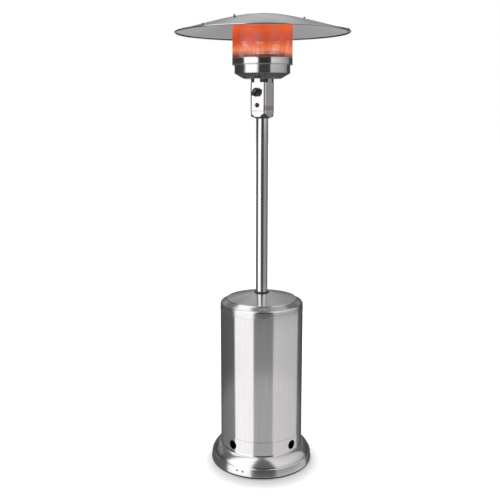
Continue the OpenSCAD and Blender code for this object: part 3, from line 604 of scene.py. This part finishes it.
def housing_lid():
    r, seam = node_r("housing_body"), node_z("housing_body")[1]
    hole, top = node_r("lid_grommet") - 4.5, node_z("housing_lid")[1]
    crest = seam + SHOULDER_H
    path = rounded([
        (r, seam + 0.4, 0), (r + 0.9, seam + 0.7, 0.3), (r + 0.9, seam + 10.3, 0.5), (r, seam + 11.2, 0.6),
        (r, seam + 26.0, 0.4), (r - 0.5, seam + 26.7, 0.4), (r - 0.1, seam + 27.4, 0.4),
        (r - 0.1, crest - SHOULDER_RISE, SHOULDER_R - 0.5), (STEP_R + 0.6, crest, 0.8),
        (STEP_R, crest + STEP_H, 2.2), (STEP_R - 8, crest + STEP_H + 1.7, 0)], step=4.0)[:-1]
    path += dome_curve(28, hole, STEP_R - 3.2, top, crest + STEP_H + 0.6)
    turned("housing_lid", thicken(path, SHEET_T), "spun_steel")


def lid_grommet():
    r, (low, top) = node_r("lid_grommet"), node_z("lid_grommet")
    bore = node_r("post") + 0.5
    loop = rounded([
        (bore, low + 2, 0), (bore, low, 0.4), (r - 4.8, low, 0.6), (r - 4.8, top - 5, 0.3),
        (r, top - 5.3, 1.4), (r, top, 2.4), (bore, top, 1.6), (bore, top - 2.6, 0)])
    turned("lid_grommet", loop, "black_rubber", 128)


def post():
    r, (low, top) = node_r("post"), node_z("post")
    path = [Vector((r, low)), Vector((r, top))]
    turned("post", thicken(path, POST_T), "polished_steel", 128)


# ---------------------------------------------------------------- control box

BOX_CORNER = 12.0
BOX_T = 1.2
TONGUE_W = 31.0             # what is left of each face between the notched corners
TONGUE_H = 17.0
SLEEVE_TIP_W = 28.0


def box_outline(half, corner, marks=()):
    """Points round the control box, each with its distance from the middle of its own face."""
    flat = half - corner
    face = sorted({-flat, -flat / 2, 0.0, flat / 2, flat, *marks, *(-m for m in marks)})
    points = []
    for quarter in range(4):
        turn = Matrix.Rotation(math.radians(90 * quarter), 2)
        for x in face:
            points.append((turn @ Vector((x, -half)), abs(x)))
        for k in range(1, 10):
            a = math.radians(10 * k)
            p = Vector((flat + corner * math.sin(a), -flat - corner * math.cos(a)))
            points.append((turn @ p, half))
    return points


# A pressed sheet's turned-in edge: the distance from the edge and the outline's size there.
EDGE_TURN = ((0.0, 0.966), (0.5, 0.982), (1.3, 0.994), (2.4, 1.0))


def sheet_tube(outline, low, high, turn_low=False, turn_high=False):
    """A tube of sheet along an outline. low and high give its two edges from a face distance.

    Either edge can be turned in, as a pressed sheet's edge is.
    """
    bm = bmesh.new()
    columns = []
    for p, away in outline:
        z0, z1 = low(away), high(away)
        rows = [(z0 + rise, size) for rise, size in EDGE_TURN] if turn_low else [(z0, 1.0)]
        top = [(z1 - rise, size) for rise, size in EDGE_TURN[::-1]] if turn_high else [(z1, 1.0)]
        start, end = rows[-1][0], top[0][0]
        rows += [(start + (end - start) * k / 5, 1.0) for k in range(1, 5)] + top
        columns.append([bm.verts.new((p.x * size, p.y * size, z)) for z, size in rows])
    for a, b in zip(columns, columns[1:] + columns[:1]):
        for k in range(len(a) - 1):
            bm.faces.new((a[k], b[k], b[k + 1], a[k + 1]))
    return bm


def solidify(bm, t):
    """Gives a surface a thickness."""
    bmesh.ops.recalc_face_normals(bm, faces=bm.faces)
    bmesh.ops.solidify(bm, geom=bm.faces, thickness=t)


def control_box():
    half, z0, z1 = square_size("control_box")
    shoulder = z1 - TONGUE_H
    outline = box_outline(half, BOX_CORNER, (TONGUE_W / 2,))
    bm = sheet_tube(outline, lambda away: z0, lambda away: shoulder, turn_low=True)
    top = [v for v in bm.verts if abs(v.co.z - shoulder) < 1e-3]
    lifted = {}
    for v in top:
        across = min(abs(v.co.x), abs(v.co.y))
        if across <= TONGUE_W / 2 + 1e-3:
            lifted[v] = bm.verts.new((v.co.x, v.co.y, z1))
    for edge in list(bm.edges):
        a, b = edge.verts
        if a in lifted and b in lifted:
            bm.faces.new((a, b, lifted[b], lifted[a]))
    solidify(bm, BOX_T)
    replace("control_box", bm, "polished_steel", smooth_angle=25)


def foot_sleeve():
    half, z0, z1 = square_size("foot_sleeve")
    tip = SLEEVE_TIP_W / 2

    def edge(away):
        if away <= tip:
            return z0
        reach = min(1.0, (away - tip) / (half - 6 - tip))
        return z0 + 0.56 * (z1 - z0) * math.sin(reach * math.pi / 2) ** 1.3

    marks = tuple(tip + (half - BOX_CORNER - tip) * k / 6 for k in range(6))
    bm = sheet_tube(box_outline(half, BOX_CORNER, marks), edge, lambda away: z1, turn_high=True)
    solidify(bm, BOX_T)
    replace("foot_sleeve", bm, "polished_steel", smooth_angle=25)


def head_bracket():
    half, z0, z1 = square_size("head_bracket")
    bm = bmesh.new()
    square = [p for p, _ in box_outline(half, BOX_CORNER - 1.5)]
    # Each level's height, size, and roundness from a square (0) to a circle (1).
    levels = [(z1, 1.0, 0.0), (z0 + 11, 1.0, 0.0), (z0 + 9.5, 0.985, 0.0), (z0 + 7, 0.93, 0.15),
              (z0 + 3, 0.83, 0.7), (z0 + 0.8, 0.78, 1.0), (z0, 0.75, 1.0)]
    rings = []
    for z, scale, round_off in levels:
        ring = []
        for p in square:
            circle = p.normalized() * half * scale
            ring.append(bm.verts.new((*(p * scale).lerp(circle, round_off), z)))
        rings.append(ring)
    stack(bm, rings, capped=True)
    replace("head_bracket", bm, "black_bracket")


def towards_panel(z, y):
    """Matrix that takes +Z to -Y, out of the control panel, at a height and a depth."""
    m = Matrix(((1, 0, 0), (0, 0, -1), (0, 1, 0))).to_4x4()
    m.translation = Vector((0, y, z))
    return m


KNOB_TURN = 45.0
KNOB_SKIRT = 12.0
KNOB_RIBS = 24
GRIP_HALF_W = 5.6
GRIP_FOOT = KNOB_SKIRT - 3.0


def knob_grip(reach, depth):
    """The bar across the knob that fingers turn, with round ends and a bevelled top."""
    grip = bmesh.new()
    outline = []
    end = math.asin(GRIP_HALF_W / reach)
    for side in (0, math.pi):
        for k in range(9):
            a = side - end + 2 * end * k / 8
            outline.append(grip.verts.new((reach * math.cos(a), reach * math.sin(a), GRIP_FOOT)))
    face = grip.faces.new(outline)
    up = bmesh.ops.extrude_face_region(grip, geom=[face])["geom"]
    top = [v for v in up if isinstance(v, bmesh.types.BMVert)]
    bmesh.ops.translate(grip, vec=(0, 0, depth - GRIP_FOOT), verts=top)
    rim = [e for e in grip.edges if all(v in top for v in e.verts)]
    bmesh.ops.bevel(grip, geom=rim, offset=1.6, segments=4, affect="EDGES", profile=0.5)
    return moved(grip, Matrix.Rotation(math.radians(KNOB_TURN), 4, "Z"))


def control_knob():
    z, r, depth, back = panel_size("control_knob")
    knob = small_turned(rounded([
        (0, 0, 0), (r - 1.0, 0, 0), (r, 0.8, 0.6), (r, 7.5, 1.0), (r - 1.6, KNOB_SKIRT - 1.0, 1.4),
        (r - 4.5, KNOB_SKIRT, 1.5), (0, KNOB_SKIRT - 0.6, 0)]), 96)
    join(knob, knob_grip(r - 2.4, depth))
    for k in range(KNOB_RIBS):
        a = 2 * math.pi * k / KNOB_RIBS
        rib = small_turned([(0, 1.5), (0.7, 1.5), (0.7, 7.2), (0, 7.2)], 8)
        join(knob, moved(rib, Matrix.Translation((r * math.cos(a), r * math.sin(a), 0))))
    replace("control_knob", moved(knob, towards_panel(z, back)), "black_plastic", smooth_angle=40)


def knob_pointer():
    """A painted line on the knob's grip."""
    z, _, depth, back = panel_size("control_knob")
    line = bmesh.new()
    bmesh.ops.create_cube(line, size=1.0)
    bmesh.ops.scale(line, vec=(11, 1.3, 0.5), verts=line.verts)
    bmesh.ops.bevel(line, geom=line.edges, offset=0.15, segments=2, affect="EDGES")
    moved(line, Matrix.Translation((9.2, 0, depth + 0.02)))
    moved(line, Matrix.Rotation(math.radians(KNOB_TURN), 4, "Z"))
    moved(line, towards_panel(z, back))
    new_piece("knob_pointer", line, "pointer_paint", "knob")


def dial_plate():
    z, r, _, back = panel_size("dial_plate")
    plate = small_turned(rounded([
        (6.5, 0, 0), (r - 0.2, 0, 0), (r, 0.3, 0.2), (r - 0.5, 0.8, 0.3), (6.5, 0.8, 0)]), 96)
    replace("dial_plate", moved(plate, towards_panel(z, back)), "spun_steel")


def igniter_bezel():
    z, r, depth, back = panel_size("igniter_bezel")
    bore = panel_size("igniter_button")[1] + 0.3
    ring = small_turned(rounded([
        (bore, 0, 0), (r - 0.2, 0, 0), (r, 0.4, 0.3), (r, 2.0, 0.8), (r - 1.6, depth, 1.2),
        (bore, depth, 0.7), (bore, 1.0, 0)]), 64)
    replace("igniter_bezel", moved(ring, towards_panel(z, back)), "black_plastic")


def igniter_button():
    r, depth, back = panel_size("igniter_button")[1:]
    button = small_turned(rounded([
        (0, 0, 0), (r, 0, 0), (r, depth, 1.2), (r - 3, depth - 0.2, 1.5), (0, depth - 1.0, 0)]), 48)
    z = panel_size("igniter_bezel")[0]
    replace("igniter_button", moved(button, towards_panel(z, back)), "red_plastic")


# ---------------------------------------------------------------- head

def perforated(bm, across, levels, point, hole):
    """A sheet of cells, each with an eight-sided hole. point(u, v) gives the place of a grid position.

    across is the number of cells round the post and levels the number of rows. The grid closes on
    itself in u, and hole is the hole's width in cells.
    """
    corners = [(-0.5, -0.5), (0, -0.5), (0.5, -0.5), (0.5, 0), (0.5, 0.5), (0, 0.5), (-0.5, 0.5), (-0.5, 0)]
    cache = {}

    def vert(u, v):
        key = (round(u * 4) % (4 * across), round(v * 4))
        if key not in cache:
            cache[key] = bm.verts.new(point(u, v))
        return cache[key]

    for row in range(levels):
        for column in range(across):
            u, v = column + 0.5, row + 0.5
            outer = [vert(u + du, v + dv) for du, dv in corners]
            inner = [bm.verts.new(point(u + du * hole / 2 / math.hypot(du, dv),
                                        v + dv * hole / 2 / math.hypot(du, dv)))
                     for du, dv in corners]
            band(bm, outer, inner)


def around(radius, u, across):
    """The (x, y) of a grid position u of a sheet that has across cells round the post."""
    a = 2 * math.pi * u / across
    return radius * math.sin(a), -radius * math.cos(a)


def plain_ring(bm, radius, z, across):
    """Vertices round the post that meet a perforated sheet of across cells."""
    return [bm.verts.new((*around(radius, u / 2, across), z)) for u in range(2 * across)]


SCREEN_HEM = 4.0            # plain edge above and below the holes
SCREEN_T = 0.8
THIN_SHEET_T = 0.9


def emitter_screen():
    r, (low, high) = node_r("emitter_screen"), node_z("emitter_screen")
    across, rows = 150, 30  # holes round the post, and rows of them
    bm = bmesh.new()

    def point(u, v):
        return (*around(r, u, across), low + SCREEN_HEM + (high - low - 2 * SCREEN_HEM) * v / rows)

    perforated(bm, across, rows, point, hole=0.62)
    for z0, z1 in ((low, low + SCREEN_HEM), (high - SCREEN_HEM, high)):
        stack(bm, [plain_ring(bm, r, z0, across), plain_ring(bm, r, z1, across)])
    bmesh.ops.remove_doubles(bm, verts=bm.verts, dist=0.01)
    solidify(bm, SCREEN_T)
    replace("emitter_screen", bm, "glowing_screen", smooth_angle=30)


BOWL_FOOT_R = 88.0          # the flat floor ends here and the cone starts
BOWL_HOLE_R = 24.0
BOWL_HEM = 3.0


def bowl_base():
    r, (low, high) = node_r("bowl_base"), node_z("bowl_base")
    foot, hole = BOWL_FOOT_R, BOWL_HOLE_R
    cone_top = high - 8
    across, rows = 96, 18
    slant = math.hypot(r - foot, cone_top - low)
    length = foot - hole + slant

    def point(u, v):
        s = BOWL_HEM + (length - 2 * BOWL_HEM) * v / rows
        if s < foot - hole:
            return (*around(hole + s, u, across), low)
        t = (s - (foot - hole)) / slant
        return (*around(foot + (r - foot) * t, u, across), low + (cone_top - low) * t)

    bm = bmesh.new()
    perforated(bm, across, rows, point, hole=0.6)
    inner_edge = [(hole, low), (hole + BOWL_HEM, low)]
    reach = (length - BOWL_HEM - (foot - hole)) / slant
    outer_edge = [(foot + (r - foot) * reach, low + (cone_top - low) * reach), (r, cone_top), (r, high)]
    for edge in (inner_edge, outer_edge):
        stack(bm, [plain_ring(bm, radius, z, across) for radius, z in edge])
    bmesh.ops.remove_doubles(bm, verts=bm.verts, dist=0.01)
    solidify(bm, SHEET_T)
    replace("bowl_base", bm, "satin_steel", smooth_angle=30)


def bowl_wall():
    r, (low, high) = node_r("bowl_base"), node_z("bowl_wall")
    lip = node_r("bowl_wall")
    path = rounded([(r - 1, low, 0), (r, low, 0.5), (r, high - 1.0, 0.8), (lip, high - 1.0, 0.5),
                    (lip, high, 0)], step=10)
    turned("bowl_wall", thicken(path, SHEET_T), "polished_steel")


def head_ring():
    r, (low, high) = node_r("head_ring"), node_z("head_ring")
    path = rounded([(r - 12, low, 0), (r, low, 1.5), (r, low + 2.6, 0.8), (r - 0.7, low + 4, 0.8),
                    (r - 0.7, high - 2.5, 0.5), (r, high - 1.6, 0.6), (r - 0.2, high, 0.5), (r - 2, high, 0)],
                   step=12)
    turned("head_ring", thicken(path, THIN_SHEET_T), "polished_steel")


# ---------------------------------------------------------------- reflector

SEAM_TURN = -5.5
PANELS = 3
PANEL_SPAN = 360 / PANELS
CROWN_FLAT_R = 104.0
REFLECTOR_POWER = 1.17
RIM_WIRE_R = 3.5
RIM_LIFT = 0.6              # of the rolled rim's middle above the sheet's edge
SEAM_GAP = 0.06             # degrees between two panels


def reflector_height(r):
    """Level of the reflector's upper face at a radius, as in the CAD design."""
    if r <= CROWN_FLAT_R:
        return REFLECTOR_TOP
    s = (r - CROWN_FLAT_R) / (REFLECTOR_R - CROWN_FLAT_R)
    return RIM_Z + (REFLECTOR_TOP - RIM_Z) * (1 - s ** REFLECTOR_POWER)


REFLECTOR_R = max(node_r(f"reflector_panel_{k + 1}") for k in range(PANELS))
RIM_Z = node_z("reflector_panel_1")[0] + RIM_WIRE_R - RIM_LIFT
REFLECTOR_TOP = node_z("reflector_panel_1")[1]


def reflector_panels():
    rim = REFLECTOR_R - RIM_WIRE_R
    radii = [30, CROWN_FLAT_R - 1.5]
    radii += [CROWN_FLAT_R + (rim - 4 - CROWN_FLAT_R) * k / 40 for k in range(41)]
    sheet = [Vector((r, reflector_height(r))) for r in radii]
    curl = []
    for k in range(11):
        a = math.radians(100 - 27 * k)
        curl.append(Vector((rim + RIM_WIRE_R * math.cos(a), RIM_Z + RIM_LIFT + RIM_WIRE_R * math.sin(a))))
    loop = thicken(sheet + curl, -THIN_SHEET_T)
    for k in range(PANELS):
        start = SEAM_TURN + PANEL_SPAN * k + SEAM_GAP / 2
        bm = lathe(bmesh.new(), loop, 96, start, PANEL_SPAN - SEAM_GAP)
        replace(f"reflector_panel_{k + 1}", bm, "satin_steel", smooth_angle=50)


def reflector_crown():
    r, top = node_r("reflector_crown"), REFLECTOR_TOP
    loop = [(0, top + 0.1), (r - 0.1, top + 0.1), (r, top + 0.8), (r - 0.7, top + 1.5), (0, top + 1.5)]
    turned("reflector_crown", loop, "satin_steel", 128)


def cap_nut(r, across, base_h):
    """A hexagon with a chamfer and a domed cap, standing on z = 0."""
    bm = bmesh.new()
    rings = []
    for z, size in ((0.0, across * 0.97), (0.4, across), (base_h - 0.5, across), (base_h, across * 0.93)):
        corner = size / math.sqrt(3)
        turns = [math.radians(60 * k) for k in range(6)]
        rings.append([bm.verts.new((corner * math.cos(a), corner * math.sin(a), z)) for a in turns])
    stack(bm, rings, capped=True)
    dome_z = base_h + 0.6
    dome = [(0, base_h - 0.2), (r, base_h - 0.2)]
    for k in range(9):
        a = math.radians(10 * k)
        dome.append((r * math.cos(a), dome_z + r * math.sin(a)))
    dome.append((0, dome_z + r))
    return join(bm, small_turned(dome, 24))


SEAM_BOLT_RS = (192.0, 392.0)
CROWN_BOLT_R = 72.0
CROWN_DOME_R = 12.0


def seam_bolts():
    bm = bmesh.new()
    for k in range(PANELS):
        turn = SEAM_TURN + PANEL_SPAN * k
        for r in SEAM_BOLT_RS:
            z = reflector_height(r)
            slope = math.atan((reflector_height(r - 2) - reflector_height(r + 2)) / 4)
            out = direction(turn)
            place_at = Matrix.Translation(out * r + Vector((0, 0, z)))
            tilt = Matrix.Rotation(slope, 4, Vector((0, 0, 1)).cross(out))
            washer = small_turned([(0, 0.1), (7.2, 0.1), (7.2, 1.0), (6.8, 1.3), (0, 1.3)], 32)
            nut = moved(cap_nut(4.4, 10.0, 4.6), Matrix.Translation((0, 0, 1.2)))
            join(bm, moved(join(washer, nut), place_at @ tilt))
            head = small_turned([(0, 0), (5.2, 0), (5.2, -1.0), (4.0, -2.4), (0, -3.0)], 32)
            join(bm, moved(head, place_at @ tilt @ Matrix.Translation((0, 0, -2.1))))
    replace("seam_bolts", bm, "fasteners", smooth_angle=30)


def crown_nuts():
    """Low domed nuts, each with a small socket for a key."""
    height = 3.6
    reach = math.acos(1 - height / CROWN_DOME_R)
    dome = []
    for k in range(8, 1, -1):
        a = reach * k / 8
        dome.append((CROWN_DOME_R * math.sin(a), height - CROWN_DOME_R + CROWN_DOME_R * math.cos(a)))
    loop = [(0, 0), (dome[0][0], 0), *dome, (2.0, 3.35), (2.0, 1.6), (0, 1.6)]
    bm = bmesh.new()
    for k in range(PANELS):
        spot = direction(SEAM_TURN + PANEL_SPAN * k) * CROWN_BOLT_R + Vector((0, 0, REFLECTOR_TOP + 1.7))
        join(bm, moved(small_turned(loop), Matrix.Translation(spot)))
    replace("crown_nuts", bm, "fasteners", smooth_angle=30)


# ---------------------------------------------------------------- what stays as CAD

def finish_cad_nodes():
    """Every CAD node that is still shown gets its slot's material."""
    for name, obj in frame["nodes"].items():
        obj.data.materials.clear()
        obj.data.materials.append(MATS[SLOT_OF[name]])
        obj.data.shade_smooth()
        obj.data.set_sharp_from_angle(angle=math.radians(28))


# ---------------------------------------------------------------- studio

WHITE = 1.2                 # over 1, so that the steel shows it as clear white
WARM = (1.012, 0.985, 0.994)
WALL_EDGE = 1.0             # degrees at each end of a wall where it blends into the next one

# Walls of the studio: for each band of elevation, from the floor up, the elevation where it starts and
# how softly, and its stretches of wall as (from bearing, to bearing, grey level, grey level). Bearings
# are turns from the camera's side of the studio, positive to the right.
STUDIO_BANDS = [
    (-90, 1, [(-180, 180, 0.14, 0.14)]),
    (-42, 6, [(-180, -172, 0.46, 0.46), (-172, -150, 0.12, 0.10), (-150, -80, 0.16, 0.24),
              (-80, -22, 1.04, 1.04), (-22, 33, 0.40, 0.40), (33, 121, 0.66, 0.58),
              (121, 150, 0.22, 0.10), (150, 172, 0.10, 0.12), (172, 180, 0.40, 0.46)]),
    (-23.5, 1.5, [(-180, -171, 0.46, 0.46), (-171, -150, 0.10, 0.08), (-150, -80, 0.09, 0.12),
                  (-80, -22, 1.02, 1.00), (-22, 33, 0.24, 0.24), (33, 121, 0.58, 0.50),
                  (121, 150, 0.14, 0.08), (150, 171, 0.08, 0.10), (171, 180, 0.40, 0.46)]),
    (-15.5, 1.5, [(-180, -171, 0.46, 0.44), (-171, -150, 0.12, 0.10), (-150, -80, 0.10, 0.10),
                  (-80, -22, WHITE, WHITE), (-22, 33, 0.07, 0.07), (33, 100, 0.32, 0.26),
                  (100, 121, 0.20, 0.18), (121, 150, 0.08, 0.08), (150, 171, 0.08, 0.10),
                  (171, 180, 0.40, 0.46)]),
    (-1.5, 1.5, [(-180, -150, 0.10, 0.12), (-150, -73, 0.05, 0.05), (-73, -16, WHITE, WHITE),
              (-16, 33, 0.03, 0.03), (33, 121, 0.76, 0.24), (121, 150, 0.06, 0.06), (150, 180, 0.10, 0.10)]),
    (9, 2, [(-180, -171, 0.36, 0.34), (-171, -110, 0.18, 0.16), (-110, -85, 0.08, 0.08),
            (-85, -22, WHITE, WHITE), (-22, 33, 0.06, 0.06), (33, 121, 0.62, 0.50),
            (121, 171, 0.10, 0.16), (171, 180, 0.34, 0.36)]),
    (18, 2, [(-180, -175, 0.66, 0.60), (-175, -110, 0.38, 0.24), (-110, -85, 0.08, 0.08),
             (-85, -22, WHITE, WHITE), (-22, 33, 0.08, 0.08), (33, 121, 0.62, 0.50),
             (121, 150, 0.12, 0.16), (150, 175, 0.22, 0.34), (175, 180, 0.60, 0.66)]),
    (26, 3, [(-180, -168, 0.40, 0.38), (-168, -110, 0.16, 0.14), (-110, -85, 0.12, 0.12),
             (-85, -22, WHITE, WHITE), (-22, 33, 0.12, 0.12), (33, 121, 0.80, 0.55),
             (121, 168, 0.10, 0.18), (168, 180, 0.38, 0.40)]),
    (48, 2, [(-180, -160, 0.14, 0.14), (-160, -100, WHITE, WHITE), (-100, -85, 0.11, 0.11),
             (-85, -22, WHITE, WHITE), (-22, 33, 0.12, 0.12), (33, 121, 0.80, 0.50),
             (121, 160, 0.42, 0.42), (160, 180, 0.14, 0.14)]),
]


def add_world():
    """A studio of white, grey and dark walls that the polished steel reflects, and a white backdrop."""
    world = bpy.data.worlds.new("studio")
    bpy.context.scene.world = world
    world.use_nodes = True
    tree = world.node_tree
    tree.nodes.clear()
    coords = node(tree, "ShaderNodeTexCoord")

    def dot(axis):
        made = node(tree, "ShaderNodeVectorMath", operation="DOT_PRODUCT")
        link(tree, coords.outputs["Generated"], made.inputs[0])
        made.inputs[1].default_value = axis
        return made.outputs["Value"]

    rise = math_node(tree, "ARCSINE", dot(Vector((0, 0, 1))))
    bearing = math_node(tree, "ARCTAN2", dot(direction(CAMERA_TURN + 90)), dot(direction(CAMERA_TURN)))
    position = remap(tree, bearing, -math.pi, math.pi, 0.0, 1.0)

    studio = None
    for start, soft, stretches in STUDIO_BANDS:
        points = []
        for first, last, level, end_level in stretches:
            for bearing_at, grey in ((first + WALL_EDGE, level), (last - WALL_EDGE, end_level)):
                points.append(((bearing_at + 180) / 360, tuple(grey * w for w in WARM)))
        walls = ramp(tree, position, points)
        if studio is None:
            studio = walls
            continue
        below, above = math.radians(start - soft), math.radians(start + soft)
        studio = colour_mix(tree, remap(tree, rise, below, above, 0.0, 1.0, smooth=True), studio, walls)

    rays = node(tree, "ShaderNodeLightPath")
    seen = colour_mix(tree, rays.outputs["Is Camera Ray"], studio, (1.0, 1.0, 1.0))
    background = node(tree, "ShaderNodeBackground")
    output = node(tree, "ShaderNodeOutputWorld")
    link(tree, seen, background.inputs["Color"])
    link(tree, background.outputs["Background"], output.inputs["Surface"])


PAINTED_SHADOW_SHIFT = 0.07          # metres that the painted shadow's middle lies in front of the post
# how far out from the base the painted shadow fades, in metres
PAINTED_SHADOW_WIDTH = 0.12


def add_floor():
    """A white floor with a shadow painted into its colour round the base, darkest on the camera's side. The
    steel reflects the studio's walls instead of it.
    """
    bm = bmesh.new()
    bmesh.ops.create_circle(bm, cap_ends=True, segments=96, radius=30.0)
    mesh = bpy.data.meshes.new("floor")
    bm.to_mesh(mesh)
    bm.free()
    tree, shader = new_material("floor_painted_shadow")
    # Painted shadow: the floor's colour darkens towards the base, about a middle set in front of the post
    # towards the camera.
    away = node(tree, "ShaderNodeVectorMath", operation="DISTANCE")
    link(tree, node(tree, "ShaderNodeTexCoord").outputs["Object"], away.inputs[0])
    away.inputs[1].default_value = direction(CAMERA_TURN) * PAINTED_SHADOW_SHIFT
    edge = node_r("base_shell") * MM - PAINTED_SHADOW_SHIFT
    reach = remap(tree, away.outputs["Value"], edge, edge + PAINTED_SHADOW_WIDTH, 0.0, 1.0)
    shade = ramp(tree, reach, [(0.0, 0.36), (0.15, 0.52), (0.45, 0.62), (0.75, 0.78), (1.0, 0.9)])
    link(tree, shade, shader.inputs["Base Color"])
    shader.inputs["Roughness"].default_value = 0.9
    mesh.materials.append(MATS["floor_painted_shadow"])
    floor = bpy.data.objects.new("floor", mesh)
    floor.location.z = -0.0005
    floor.visible_glossy = False
    bpy.context.scene.collection.objects.link(floor)


def add_lights():
    """One broad soft light from above for the floor and the plastic parts."""
    sun = bpy.data.lights.new("overhead", "SUN")
    sun.energy = 3.2
    sun.angle = math.radians(120)
    lamp = bpy.data.objects.new("overhead", sun)
    lamp.visible_glossy = False
    bpy.context.scene.collection.objects.link(lamp)


add_camera()
finish_cad_nodes()
for build in (base_shell, foot_ring, base_collar, housing_body, housing_lid, lid_grommet, post, control_box,
              foot_sleeve, head_bracket, control_knob, knob_pointer, dial_plate, igniter_bezel,
              igniter_button, emitter_screen, bowl_base, bowl_wall, head_ring, reflector_panels,
              reflector_crown, seam_bolts, crown_nuts):
    build()
add_world()
add_floor()
add_lights()
scene = bpy.context.scene
scene.view_settings.view_transform = "Standard"
scene.view_settings.look = "None"
